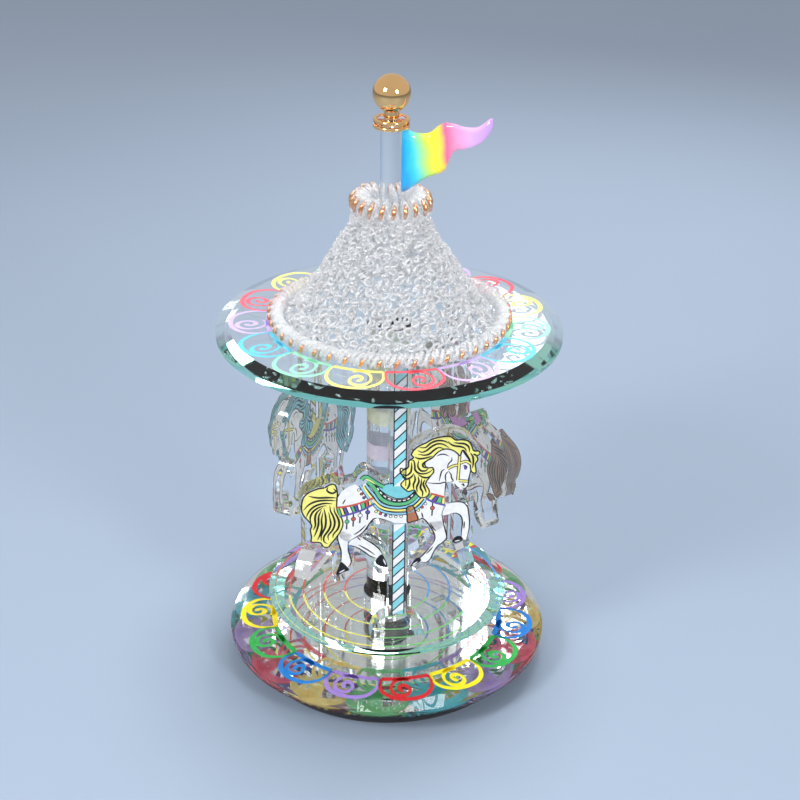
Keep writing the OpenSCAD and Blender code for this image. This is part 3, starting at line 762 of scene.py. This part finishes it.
def mast_collar():
    """A glass disc on the mast, with a gilded band round each rim."""
    z = MAST_TOP
    body = Shape()
    turned(body, [(0.4, 0.1), (4.2, 0.1), (4.9, 0.5), (5.1, 1.4), (4.9, 2.3), (4.2, 2.8),
                  (0.4, 2.8)], z)
    made = body.make("mast_collar_glass", ROD_GLASS, "carousel", "gold")
    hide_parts("mast_collar")
    bands = Shape()
    for height, r in ((0.62, 4.62), (2.32, 4.62)):
        ring = [polar(r * MM, 360 * i / 64, z + height * MM) for i in range(64)]
        tube(bands, ring, 0.62 * MM, 10, closed=True)
    bands.make("mast_collar_bands", GOLD, "carousel", "gold")


# The pennant's lower and upper edge at each distance from the mast, in millimetres.
FLAG_EDGES = [
    (0, 0, 18.5), (2, 0.4, 17.8), (4.4, 1.8, 16.9), (6.6, 3.2, 16.8), (8.4, 4.2, 17.4), (10.4, 5.0, 19.4),
    (12.4, 6.4, 20.5), (13.4, 9.0, 20.5), (15, 12.3, 20.4), (18, 13.2, 19.7), (21, 14.3, 19.6),
    (23, 15.6, 20.5), (24.6, 17.4, 21.7), (25.6, 19.6, 21.6),
]
FLAG_STOPS = [
    (0.0, (0.02, 0.42, 0.85)), (0.10, (0.05, 0.66, 0.88)), (0.19, (0.30, 0.80, 0.45)),
    (0.27, (0.66, 0.90, 0.10)), (0.36, (1.0, 0.88, 0.04)), (0.44, (1.0, 0.66, 0.10)),
    (0.50, (0.95, 0.16, 0.34)), (0.62, (0.90, 0.34, 0.58)), (0.78, (0.74, 0.46, 0.78)),
    (1.0, (0.58, 0.36, 0.76)),
]


def flag_glass():
    """Coloured glass that runs from blue at the mast to lilac at the tip."""
    material, tree, shader = new_material("flag_glass")
    split = node(tree, "ShaderNodeSeparateXYZ")
    tree.links.new(coordinates(tree), split.inputs["Vector"])
    run = mapped(tree, split.outputs["X"], 0, 1, FLAG_LOW.x, FLAG_HIGH.x)
    slant = mapped(tree, split.outputs["Z"], -0.09, 0.07, FLAG_LOW.z, FLAG_HIGH.z)
    sway = mapped(tree, noise(tree, 130, 2), -0.07, 0.07)
    tint = tinted(tree, shader, total(tree, total(tree, run, slant), sway), FLAG_STOPS)
    # Painted glow: the flag emits its own colour, though it is no lamp.
    tree.links.new(tint, shader.inputs["Emission Color"])
    shader.inputs["Emission Strength"].default_value = 0.22
    set_range(tree, noise(tree, 90), 0.05, 0.12, shader.inputs["Roughness"])
    shader.inputs["Transmission Weight"].default_value = 0.3
    shader.inputs["Coat Weight"].default_value = 0.5
    shader.inputs["Coat Roughness"].default_value = 0.03
    bump(tree, shader, noise(tree, 180, 2), 0.0002, 0.3)
    return material


def flag():
    """A wavy pennant of glass with rounded edges, thickest in its middle."""
    rows = 12
    lower = spline([(x, a) for x, a, b in FLAG_EDGES], 5)
    upper = spline([(x, b) for x, a, b in FLAG_EDGES], 5)
    count = len(lower)
    length = FLAG_EDGES[-1][0]

    def skin(side):
        verts = []
        for i in range(count):
            share = i / (count - 1)
            for k in range(rows + 1):
                t = k / rows
                x, z = (a * (1 - t) + b * t for a, b in zip(lower[i], upper[i]))
                edge = max(0.0, 1 - (2 * t - 1) ** 4) ** 0.5
                tip = max(0.0, 1 - share ** 8) ** 0.5
                thick = 0.85 * edge * tip
                wave = 1.6 * math.sin(TAU * x / length + 0.5 * (t - 0.5))
                y = wave + side * thick
                verts.append((MAST_R - 0.3 * MM + x * MM, y * MM, FLAG_LOW.z + z * MM))
        return verts

    n = rows + 1
    grid = [(i * n + k, (i + 1) * n + k, (i + 1) * n + k + 1, i * n + k + 1)
            for i in range(count - 1) for k in range(rows)]
    shape = Shape()
    shape.add(skin(-1), grid)
    shape.add(skin(1), [tuple(reversed(face)) for face in grid])
    made = shape.make("flag_pennant", flag_glass(), "carousel", "flag_glass")
    weld(made, 0.01 * MM)
    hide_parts("flag")


# ---------------- printed horses
#
# Every outline and line is in millimetres on the plate's face: x runs forward from the pole
# and y runs up from the belly. Each is drawn smooth through its points.

TORSO = [
    (-18.6, 7.6), (-18.2, 10.2), (-17, 11.8), (-15, 13.4), (-13, 14.2), (-11.6, 13.2), (-9, 14.8),
    (-5, 13.2), (0, 13.2), (4.4, 14), (5.6, 19), (7.4, 21.8), (10, 23.4), (13, 24.5), (15.8, 24),
    (17.3, 22.8), (18, 25.2), (18.8, 23.4), (20.2, 21), (20.9, 18.4), (20.6, 15.4), (20.3, 12.6),
    (19.6, 11.1), (18.2, 10.9), (16.6, 12), (15.2, 13.3), (13.9, 13.2), (13.5, 10.4), (13.6, 7.2),
    (13.9, 5.4), (12.9, 4), (12.9, 1.4), (13.5, -1.4), (10.4, -3), (8.6, -0.2), (7.1, 1.4), (5, 0.8),
    (2, 0.2), (-1.6, 0.5), (-5, 2), (-7.2, 2.3), (-8.4, 1.2), (-10.6, -2.2), (-12.7, -3.8), (-15.1, -5.2),
    (-17.4, -3.6), (-17.6, -1), (-17, 1.4), (-18, 4.8),
]
NEAR_FORELEG = [
    (8.6, -0.2), (9.9, -2.4), (10.8, -4.6), (10.7, -6.6), (9.4, -8.8), (7.6, -11), (6.4, -12.3),
    (5.2, -12.4), (4.1, -13.6), (3.6, -15.1), (5, -14.9), (6.6, -13.8), (8.4, -13.9), (9.6, -12.8),
    (10.5, -10.6), (11.7, -8.5), (13.6, -6.9), (14.4, -5.4), (13.9, -3), (13.3, 0),
]
RAISED_FORELEG = [
    (13.4, 6.1), (15, 6.4), (17, 6.6), (19, 6.2), (20.3, 4.8), (20.7, 2.6), (21, 0.2), (21.1, -2),
    (20.8, -4.4), (20.3, -6.6), (19.3, -6.3), (18.8, -5), (18.8, -3.6), (19, -1.5), (18.9, 0.4),
    (18.2, 2), (16.8, 2.8), (15.2, 2.6), (13, 2.4),
]
NEAR_HIND_LEG = [
    (-17.4, -1.6), (-18.2, -3.6), (-17.8, -6), (-17.2, -8.4), (-17.2, -11), (-17.3, -12.6),
    (-15.2, -14.6), (-14.2, -12.4), (-14.6, -10), (-15.1, -8), (-15.1, -5.2), (-14, -3),
]
FAR_HIND_LEG = [
    (-15, -6.2), (-12.7, -3.8), (-10.6, -4.4), (-8, -6.2), (-5.9, -8.3), (-4.9, -10), (-5.4, -11.6),
    (-6.6, -11.7), (-8.6, -10.6), (-10.4, -9), (-12.5, -7.4),
]
BODY_FILLS = [TORSO, NEAR_FORELEG, RAISED_FORELEG, NEAR_HIND_LEG, FAR_HIND_LEG]

MANE = [
    (0.3, 18.9), (0.3, 17.2), (1.6, 15.4), (0.4, 13.6), (1.2, 12.2), (2.6, 11), (4.4, 11.4), (5.2, 9.8),
    (6.6, 8.6), (8.4, 9.2), (8.8, 11), (7.7, 13.4), (8.8, 15.4), (10, 17.2), (9.6, 18.6), (8.4, 18.6),
    (7.4, 19.4), (7.6, 20.8), (9.4, 21.8), (11, 23.6), (13, 24.6), (15.2, 24.2), (16.8, 23), (17.6, 22),
    (18.3, 24), (19.4, 22.8), (20.6, 20.4), (20.8, 18.2), (21.2, 16.6), (22.4, 16.2), (22.4, 17.8),
    (22.2, 19.2), (22.9, 20.6), (22.6, 21.8), (23.5, 22.6), (23, 23.4), (21.6, 23.6), (21, 25.2),
    (20, 26.8), (18, 27.4), (16.2, 27.4), (14.6, 28.6), (12, 28.6), (9.4, 28), (7.4, 26.8), (5.6, 26),
    (4, 24.6), (3.4, 23.2), (4, 22.2), (2.7, 21.2), (2.6, 19.4), (1.6, 18.4),
]
TAIL = [
    (-18.3, 9.4), (-18.2, 12), (-18.9, 14.4), (-20.4, 14.4), (-21.8, 13.6), (-24, 13.2), (-26.4, 12.2),
    (-28, 10.6), (-28.6, 8.4), (-28.6, 6), (-27.8, 4), (-26.4, 2.2), (-25.8, 0.8), (-26.2, -0.6),
    (-25.9, -3), (-26, -4.6), (-24.6, -4.9), (-23.2, -5.2), (-22.4, -6.6), (-21, -6.8), (-20, -5.4),
    (-18.9, -4), (-17.4, -1.6), (-16.6, 0.8), (-17, 3), (-18, 4.8), (-18.4, 6.8),
]
MANE_LINES = [
    [(5.2, 24.6), (6.4, 23.9), (7.8, 24.4), (9.2, 25.6), (10.8, 26.4), (12.6, 26.2), (14.4, 24.8)],
    [(5.6, 25.6), (7.4, 25.4), (9, 26.8), (11, 27.5), (13, 27.2), (14.2, 26.4)],
    [(5.2, 23.4), (7, 22.9), (8.6, 23.2), (9.9, 24.4), (11.4, 25.2), (13, 24.6)],
    [(4.3, 22.5), (5.6, 21.8), (7.4, 21.9), (9.6, 22.5)],
    [(2.8, 21.3), (4, 21.3), (4.4, 19.6), (4.5, 18.2), (5.4, 17.1), (7, 16.7), (8.6, 17.1), (9.8, 18.2)],
    [(5.6, 21.4), (5.3, 19.4), (6.2, 17.8), (7.6, 17.7), (8.5, 18.6)],
    [(9.6, 22.2), (7.8, 20.9), (6.8, 20), (7, 18.9), (8, 18.6)],
    [(3.4, 20.8), (3.5, 19), (3.2, 17.4), (2, 16.4), (0.9, 17)],
    [(0.6, 16.2), (2, 15.2), (3.4, 15.8), (4.2, 17)],
    [(5.4, 16.6), (6.8, 15.6), (8.4, 15.4), (9.7, 16.6)],
    [(4.3, 16.6), (4.6, 14.8), (4.1, 13.2), (4.3, 11.6)],
    [(5.4, 16), (5.7, 14.2), (5.1, 12.4), (5.3, 10.6)],
    [(6.5, 15.2), (6.4, 13.5), (6.2, 12), (6.9, 10.4), (6.7, 8.8)],
    [(7.5, 14.8), (7, 13.3), (7.5, 11.8), (8, 10.2)],
    [(2.8, 15.4), (3, 13.8), (2.6, 12.4), (2, 11.6)],
    [(14, 27.2), (14.7, 26.2), (16, 25.5), (17.6, 25.2), (18.9, 24.6), (19.5, 23.4)],
    [(15.6, 26.6), (17.2, 26.3), (18.9, 26), (20.1, 24.9), (20.4, 23.2)],
    [(20.6, 23), (21.4, 21.6), (21.6, 19.8), (21.4, 17.8)],
    [(21.5, 22.6), (22.6, 21.9)],
]
TAIL_LINES = [
    [(-18.4, 10), (-21, 10.2), (-24, 10.3), (-26.6, 11)],
    [(-20.8, 13.8), (-21.2, 12.6), (-19.8, 11.6), (-18.6, 12.2), (-19.4, 13.2)],
    [(-18.6, 9), (-21, 9.3), (-24, 9.2), (-26.4, 8.2), (-28.2, 6.2)],
    [(-19.6, 8), (-22, 8.3), (-24.6, 7.6), (-26.4, 6), (-27.4, 3.8)],
    [(-21.4, 7.6), (-23.6, 7), (-25.4, 5.6), (-26.2, 3.6), (-26, 1.8)],
    [(-22.4, 7), (-24.2, 5.4), (-24.8, 3.4), (-24.7, 1), (-25.4, -0.6)],
    [(-22.8, 6.2), (-23.7, 4), (-23.8, 1.4), (-24.4, -1), (-25.2, -3)],
    [(-22.4, 5.4), (-22.9, 2.6), (-22.8, 0), (-23.4, -2.4), (-24.2, -4.2)],
    [(-22.2, 6.8), (-21.8, 4.6), (-21.6, 2.4), (-21.9, 0), (-23, -2.6), (-23, -4.6)],
    [(-20.8, 5.4), (-20.4, 3), (-20.2, 1), (-20.9, -1), (-22.2, -3), (-22.2, -4.8), (-21.2, -5.6)],
    [(-20.4, 7.6), (-20.2, 5.6), (-19.4, 3.6), (-19, 1.4), (-19.6, -0.8), (-21, -2.8), (-20.8, -4.4)],
    [(-19.2, 7), (-19, 5.2), (-18.2, 3.4), (-17.7, 1.4), (-18.1, -0.6), (-19.4, -2.4), (-19.6, -3.8)],
]
BODY_LINES = [
    [(-18.4, 8.2), (-18.3, 10), (-17.4, 11.4)],
    [(-15.8, 9.4), (-16.7, 7.7)],
    [(-17.4, -1.4), (-18.2, -3.6), (-17.8, -6), (-17.2, -8.4), (-17.2, -11), (-17.3, -12.6)],
    [(-15.1, -5.2), (-15.1, -8), (-14.6, -10), (-14.2, -12.4), (-15.2, -14.4)],
    [(-15.1, -5.2), (-12.7, -3.8), (-10.6, -2.2), (-8.4, 1.2), (-7.2, 2.3), (-5, 2), (-1.8, 0.6)],
    [(-13.4, -3), (-11.6, -1.7), (-9.8, 0.2)],
    [(-12.4, -3.7), (-11.4, -5)],
    [(-15, -6.3), (-12.5, -7.4), (-10.4, -9), (-8.6, -10.6), (-6.4, -11.7)],
    [(-12.1, -6.5), (-9.6, -8.2), (-7, -10.4)],
    [(-10.6, -4.4), (-8, -6.2), (-5.9, -8.3), (-4.9, -10.2)],
    [(2.4, 0.3), (5.9, 1.2), (7.1, 1.5), (8.6, -0.2), (9.9, -2.4), (10.8, -4.6), (10.7, -6.6), (9.4, -8.8)],
    [(9.3, -0.1), (10, -1.6), (11.2, -3.2)],
    [(9.4, -8.8), (7.6, -11), (6.4, -12.4)],
    [(10.4, -8.4), (9.4, -9.8), (8.3, -11)],
    [(6.6, -13.7), (8.4, -13.9), (9.6, -12.8), (10.5, -10.6), (11.7, -8.5), (13.6, -6.9), (14.4, -5.4),
     (13.9, -3), (13.2, 0), (12.8, 3), (13.8, 5.6)],
    [(13.9, 6.1), (15.6, 6.5), (17.6, 6.6), (19.3, 6.1), (20.4, 4.6), (20.8, 2.4), (21.1, 0), (21.1, -2.4),
     (20.8, -4.6), (20.3, -6.6)],
    [(15.2, 2.5), (16.8, 2.8), (18.2, 2), (18.9, 0.4), (19, -1.6), (18.8, -3.8), (18.9, -5.4)],
    [(19.6, -0.2), (19.5, -2.8)],
    [(6.7, 3.6), (7.2, 1.6)],
    [(8, 13.7), (10, 13.3), (12, 13.2), (13.6, 13.4), (13.5, 11), (13.4, 8.9)],
    [(10.7, 22.3), (12, 22.9), (13.2, 22.8), (14.3, 22.2)],
    [(15.2, 21.8), (15.2, 20.7), (14.3, 19.6), (14, 18.2)],
    [(13.3, 18), (12.4, 17.3), (12, 15.8), (11.7, 13.9)],
    [(14.4, 17.2), (13.6, 16.2), (13.5, 14.8), (13.8, 13.4)],
    [(14.4, 17.2), (15.1, 16.1), (15.3, 14.9), (15.8, 13.9), (15, 13.4)],
    [(20.9, 18.8), (20.8, 16.6), (20.4, 14), (20.3, 12.2), (19.4, 11.1), (18.4, 11.4)],
    [(16.2, 13), (16.9, 11.8), (17.8, 11.3)],
    [(18.6, 12.4), (19.1, 11.9), (18.8, 12.7), (18.3, 12.3)],
    [(17.4, 22.6), (17.9, 24.9), (18.7, 23.3), (19.9, 21.3), (20.7, 19.8)],
    [(18.6, 18.8), (19.4, 18.7), (19.9, 17.9)],
]
HOOVES = [
    ([(-17.2, -12.2), (-15.1, -14.5), (-15, -15.4), (-16.6, -15.9), (-18.3, -17), (-18.7, -16.2),
      (-18.1, -14.4)], [(-17.8, -16), (-16.1, -15)]),
    ([(-5, -10.3), (-4, -12.2), (-3.3, -14.6), (-4.6, -14.8), (-6.2, -13.9), (-6.9, -12.8),
      (-6.4, -11.5)], [(-4.6, -12), (-3.8, -14.1)]),
    ([(3.6, -15.2), (4.3, -13.6), (5.2, -12.4), (6.4, -12.2), (6.8, -13.3), (5.6, -14.3)],
     [(4.2, -14.7), (5.8, -13.5)]),
    ([(16.1, -7.4), (16.6, -6), (17.6, -5.3), (18.7, -5.4), (19.3, -6.3), (18.8, -7.1), (17.4, -7.6)],
     [(16.8, -7.05), (18.5, -6.75)]),
]
SEAT = [
    (-7, 14), (-5, 12.8), (-4, 13.8), (-1, 13.8), (1.8, 13.2), (3, 11.6), (5, 11.4), (3.8, 10.2),
    (2.6, 9.2), (1, 8.7), (-0.8, 8.8), (-2.8, 9.6), (-4.6, 10.9), (-6.2, 12.6),
]
STITCHED = [
    (-6.6, 12.9), (-5.7, 11.3), (-4.4, 9.8), (-2.8, 8.7), (-1, 8.1), (0.8, 8), (2.4, 8.3), (3.6, 9.3),
    (4.7, 10.8),
]
CLOTH_BANDS = [
    ("green", 1.0, [(-9.4, 14.9), (-7.8, 13.3), (-6.7, 11.4), (-5.8, 9.6), (-4.6, 8.3), (-2.6, 7.2),
                    (0, 6.8), (2.4, 7.1), (4.2, 8.3), (5.5, 9.9)]),
    ("sky", 0.55, [(-9.9, 13.9), (-8.6, 11.9), (-7.3, 10.1), (-6.3, 8.3), (-4.9, 6.9), (-2.4, 5.9),
                   (0.4, 5.6), (2.8, 6.1), (4.6, 7.3), (6.1, 9.1)]),
    ("yellow", 0.6, [(-10.6, 13.5), (-9.3, 11.1), (-8.1, 9.3), (-7, 7.8), (-5.6, 6.2), (-3.6, 5.2),
                     (-1, 4.7), (1.6, 4.7), (3.6, 5.2), (5.4, 6.6), (6.9, 8.4)]),
    ("sky", 0.55, [(-11.4, 13.7), (-10.2, 11.4), (-9, 9.4), (-7.8, 7.6), (-6.4, 5.8), (-4.8, 4.6),
                   (-2.4, 3.8), (0, 3.5), (2.2, 3.6), (4.6, 4.5), (6.3, 6), (7.7, 7.9)]),
]
CANTLE = [(-11.2, 15.6), (-10.2, 16.6), (-8.8, 16), (-6.8, 14.3), (-4.6, 12.9)]
CANTLE_LIGHT = [(-10, 15.9), (-8.6, 15.2), (-7, 13.9)]
BEADS = [
    (-11.9, 12.3, "white"), (-11.1, 10.9, "red"), (-10.4, 9.6, "purple"), (-6.8, 4.7, "yellow"),
    (-5.5, 3.9, "red"), (-4, 3.2, "purple"), (-2.5, 2.8, "white"), (-1, 2.6, "white"),
    (0.6, 2.6, "white"), (5.7, 4.4, "yellow"), (6.8, 5.4, "red"), (7.8, 6.5, "white"),
]
GIRTH = [(2.3, 5.5), (4.1, 5.9), (4.9, 3.8), (5.7, 1.2), (4.2, 0.7), (2.6, 0.4), (2.4, 2.6)]
CROUP_TOP = [(-18.4, 6.7), (-15, 7), (-11, 8), (-7.6, 9.4)]
CROUP_LOW = [(-17.6, 3.5), (-14, 4.4), (-10.6, 5.6), (-7.3, 7.4)]
CROUP_BLOCKS = [
    "green", "yellow", "purple", "white", "green", "purple", "white", "green", "red", "yellow", "white",
]
BREAST_TOP = [(9.2, 9.9), (11.4, 9.2), (13.4, 8.4)]
BREAST_LOW = [(7.8, 8.4), (10, 7), (13.6, 5.7)]
BREAST_BLOCKS = ["green", "yellow", "purple", "green", "yellow"]
TASSELS = [
    (-15.4, 1.7, "green"), (-13.5, 2.5, "red"), (-11.5, 3.6, "white"), (-9.3, 4.6, "purple"),
    (9.9, 4.9, "red"),
]
BRIDLE = [[(17.5, 22), (17.4, 19), (17.2, 14)], [(17.6, 13.8), (20.2, 13.5)],
          [(17.8, 19.7), (19.5, 20.2), (20.9, 19.2)], [(14.1, 17.9), (15.5, 18.8), (17, 19.1)]]
EYE = [(18.9, 18.6), (19.6, 18.3), (19.7, 17.6), (19, 17.5)]

LINE_W = 0.42
SADDLE_TOP = 12.9
PLATE_FOOT_H = 8.4
PALETTE = {
    "white": (0.88, 0.88, 0.88), "black": (0.008, 0.008, 0.01),
    "green": (0.12, 0.50, 0.22), "sky": (0.30, 0.62, 0.80),
    "yellow": (0.92, 0.84, 0.22), "red": (0.62, 0.10, 0.07), "purple": (0.12, 0.09, 0.36),
    "brown": (0.46, 0.17, 0.08),
}
HORSES = {
    "front": {"hair": (0.93, 0.87, 0.24), "seat": (0.20, 0.60, 0.66), "pole": (0.26, 0.68, 0.76)},
    "right": {"hair": (0.36, 0.22, 0.16), "seat": (0.56, 0.24, 0.58), "pole": (0.60, 0.16, 0.22)},
    "left": {"hair": (0.22, 0.60, 0.68), "seat": (0.72, 0.70, 0.16), "pole": (0.80, 0.72, 0.14)},
}
LAYER = 0.012 * MM


class Print:
    """A picture printed on one plate: every mark lies in a layer, and each layer has a twin that
    faces the other way through the clear plate."""

    def __init__(self, angle, belly_z, colours):
        self.across = polar(1, angle + 90)
        self.out = polar(1, angle)
        self.face = POLE_RING_R + PLATE_T / 2
        self.belly_z = belly_z
        self.names = list(colours)
        self.front = Shape()
        self.back = Shape()

    def put(self, flat, colour, layer):
        verts, faces = flat
        mark = self.names.index(colour)
        for shape, lift in ((self.front, INK_LIFT + layer * LAYER), (self.back, -(layer + 1) * LAYER)):
            placed = [self.out * (self.face + lift) + self.across * (x * MM)
                      + Vector((0, 0, self.belly_z + y * MM)) for x, y in verts]
            shape.add(placed, faces, mark)

    def area(self, outline, colour, layer, smooth=True):
        self.put(fill(spline(outline, 4, closed=True) if smooth else outline), colour, layer)

    def line(self, points, width=LINE_W, colour="black", layer=2, taper=True):
        self.put(stroke(spline(points, 4), width, taper=taper), colour, layer)

    def edge(self, outline, width=LINE_W, layer=2):
        self.put(stroke(spline(outline, 4, closed=True), width, closed=True), "black", layer)

    def band(self, points, width, colour, layer=3):
        self.line(points, width + 0.5, "black", layer - 1, taper=False)
        self.line(points, width, colour, layer, taper=False)

    def dot(self, x, y, r, colour, layer=3):
        for size, tone, level in ((r + 0.2, "black", layer - 1), (r, colour, layer)):
            ring = [(x + size * math.cos(TAU * i / 14), y + size * math.sin(TAU * i / 14))
                    for i in range(14)]
            self.put(fill(ring), tone, level)


def blocks(picture, top, low, colours):
    """Coloured blocks side by side between two straps, with dark gaps."""
    upper = spline(top, 12)
    lower = spline(low, 12)
    last = len(upper) - 1
    picture.put(fill(upper + lower[::-1]), "black", 2)
    for i, colour in enumerate(colours):
        a = round((i + 0.14) / len(colours) * last)
        b = round((i + 0.86) / len(colours) * last)
        picture.put(fill([upper[a], upper[b], lower[b], lower[a]]), colour, 3)


def draw_pole(picture, low_y, high_y, colour):
    """Slanting stripes between two dark edge lines."""
    left = -1.75
    right = 1.85
    period = 6.2
    rise = 3.6
    picture.put(fill([(left, low_y), (right, low_y), (right, high_y), (left, high_y)]), "white", 3)

    def cut(x, y):
        return (x, min(high_y, max(low_y, y)))

    for k in range(math.floor(low_y / period) - 1, math.ceil(high_y / period) + 1):
        foot = k * period
        corners = [cut(left, foot), cut(right, foot + rise), cut(right, foot + rise + period / 2),
                   cut(left, foot + period / 2)]
        heights = [y for _, y in corners]
        if max(heights) - min(heights) > 0.6:
            picture.put(fill(corners), colour, 4)
        for lift in (0, period / 2):
            if low_y < foot + lift and foot + lift + rise < high_y:
                picture.put(stroke([(left, foot + lift), (right, foot + lift + rise)], 0.38), "black", 5)
    for x in (left, right):
        picture.put(stroke([(x, low_y), (x, high_y)], 0.32), "black", 5)


def draw_horse(picture):
    for outline in BODY_FILLS:
        picture.area(outline, "white", 0)
    picture.area(TAIL, "hair", 1)
    picture.edge(TAIL)
    picture.area(SEAT, "seat", 1)
    picture.edge(SEAT, 0.3)
    for points in BODY_LINES:
        picture.line(points)
    for hoof, glint in HOOVES:
        picture.area(hoof, "black", 2)
        picture.line(glint, 0.4, "white", 3)
    picture.band(STITCHED, 0.5, "black")
    stitches = spline(STITCHED, 6)
    for i in range(1, len(stitches) - 3, 5):
        picture.put(stroke(stitches[i:i + 4], 0.36), "white", 4)
    for colour, width, points in CLOTH_BANDS:
        picture.band(points, width, colour)
    picture.band(CANTLE, 0.9, "green")
    picture.line(CANTLE_LIGHT, 0.4, "yellow", 4)
    for x, y, colour in BEADS:
        picture.dot(x, y, 0.34, colour)
    picture.area(GIRTH, "brown", 3)
    picture.edge(GIRTH, 0.4, 4)
    blocks(picture, CROUP_TOP, CROUP_LOW, CROUP_BLOCKS)
    blocks(picture, BREAST_TOP, BREAST_LOW, BREAST_BLOCKS)
    for top, low in ((CROUP_TOP, CROUP_LOW), (BREAST_TOP, BREAST_LOW)):
        picture.line(top, 0.62, "red", 4, taper=False)
        picture.line(low, 0.66, "purple", 4, taper=False)
    for x, y, colour in TASSELS:
        picture.line([(x, y + 1.9), (x, y)], 0.4, taper=False)
        picture.line([(x, y), (x - 0.15, y - 2.6)], 0.42, taper=False)
        picture.dot(x, y, 0.55, colour)
    picture.area(MANE, "hair", 4)
    picture.edge(MANE, LINE_W, 5)
    for points in MANE_LINES:
        picture.line(points, 0.62, layer=5)
    for points in TAIL_LINES:
        picture.line(points, 0.66)
    for points in BRIDLE:
        picture.band(points, 0.5, "yellow", 6)
    picture.area(EYE, "purple", 5)


def horse(name, angle):
    """The picture on one plate, and the striped pole above and below the horse."""
    belly_z = BELLY_Z[name]
    colours = {**PALETTE, **HORSES[name]}
    picture = Print(angle, belly_z, colours)
    draw_horse(picture)
    draw_pole(picture, (PLATFORM_TOP - belly_z) / MM + PLATE_FOOT_H, -0.1, "pole")
    draw_pole(picture, SADDLE_TOP, (CANOPY_BOTTOM - belly_z) / MM - 0.1, "pole")
    front = [ink(f"{name}_{tone}", colours[tone]) for tone in picture.names]
    back = []
    # Painted light: the inner twin's inks are a paler copy of the outer ones, with a painted glow.
    for tone in picture.names:
        painted_lit_tone = tuple(c * 0.75 + 0.1 for c in colours[tone])
        back.append(ink(f"{name}_{tone}_inner", painted_lit_tone, painted_glow=0.35))
    picture.front.make(f"print_{name}_outer", front, "carousel", "horse_acrylic", smooth=False)
    picture.back.make(f"print_{name}_inner", back, "carousel", "horse_acrylic", smooth=False)


# ---------------- stage, lights and camera


def floor():
    material, tree, shader = new_material("floor_pale")
    tinted(tree, shader, noise(tree, 3), [(0.3, (0.29, 0.36, 0.46)), (0.7, (0.305, 0.375, 0.475))])
    shader.inputs["Roughness"].default_value = 0.7
    bpy.ops.mesh.primitive_plane_add(size=6, location=(0, 0, -0.0002))
    made = bpy.context.object
    made.name = "floor"
    made.data.materials.append(material)


def area_light(name, place, size, power, glossy=True):
    """A soft panel aimed at the middle of the carousel. Only a glossy one shows in reflections."""
    data = bpy.data.lights.new(name, "AREA")
    data.shape = "RECTANGLE"
    data.size, data.size_y = size
    data.energy = power
    made = bpy.data.objects.new(name, data)
    bpy.context.scene.collection.objects.link(made)
    made.visible_glossy = glossy
    made.location = place
    aim = Vector((0, 0, 0.09)) - Vector(place)
    made.rotation_euler = aim.to_track_quat("-Z", "Y").to_euler()


def light_paths():
    """Light passes many glass faces and the mirror, so its paths are long."""
    paths = bpy.context.scene.cycles
    paths.max_bounces = 40
    paths.transmission_bounces = 40
    paths.glossy_bounces = 20
    paths.transparent_max_bounces = 24


def lights():
    """A pale, even studio all round, and four soft panels."""
    bpy.context.scene.view_settings.view_transform = "Standard"
    world = bpy.data.worlds.new("studio")
    bpy.context.scene.world = world
    world.use_nodes = True
    background = world.node_tree.nodes["Background"]
    background.inputs["Color"].default_value = (0.93, 0.93, 0.96, 1)
    background.inputs["Strength"].default_value = 0.66
    area_light("key_left", (-0.42, -0.42, 0.50), (0.18, 0.18), 3.0)
    area_light("front_right", (0.34, -0.50, 0.40), (0.12, 0.20), 1.8)
    area_light("top", (0.05, 0.10, 0.75), (0.26, 0.26), 2.4, glossy=False)
    area_light("rim_back", (0.2, 0.55, 0.4), (0.3, 0.12), 1.2, glossy=False)


CAMERA_PLACE = (0.0034, -0.4223, 0.3040)
CAMERA_TILT = math.radians(63)
CAMERA_ROLL = math.radians(0.76)


def camera():
    data = bpy.data.cameras.new("camera")
    data.lens = 70
    data.sensor_width = 36
    made = bpy.data.objects.new("camera", data)
    bpy.context.scene.collection.objects.link(made)
    tilt = Matrix.Rotation(CAMERA_TILT, 4, "X")
    made.matrix_world = Matrix.Translation(CAMERA_PLACE) @ tilt @ Matrix.Rotation(CAMERA_ROLL, 4, "Z")
    bpy.context.scene.camera = made


camera()
light_paths()
lights()
floor()
paint_cad()
mirror_coat()
base_prints()
platform_prints()
canopy_prints()
column_bands()
roof()
rim_coil()
collar_coil()
mast_collar()
flag()
horse("front", FRONT_ANGLE)
horse("right", RIGHT_ANGLE)
horse("left", LEFT_ANGLE)
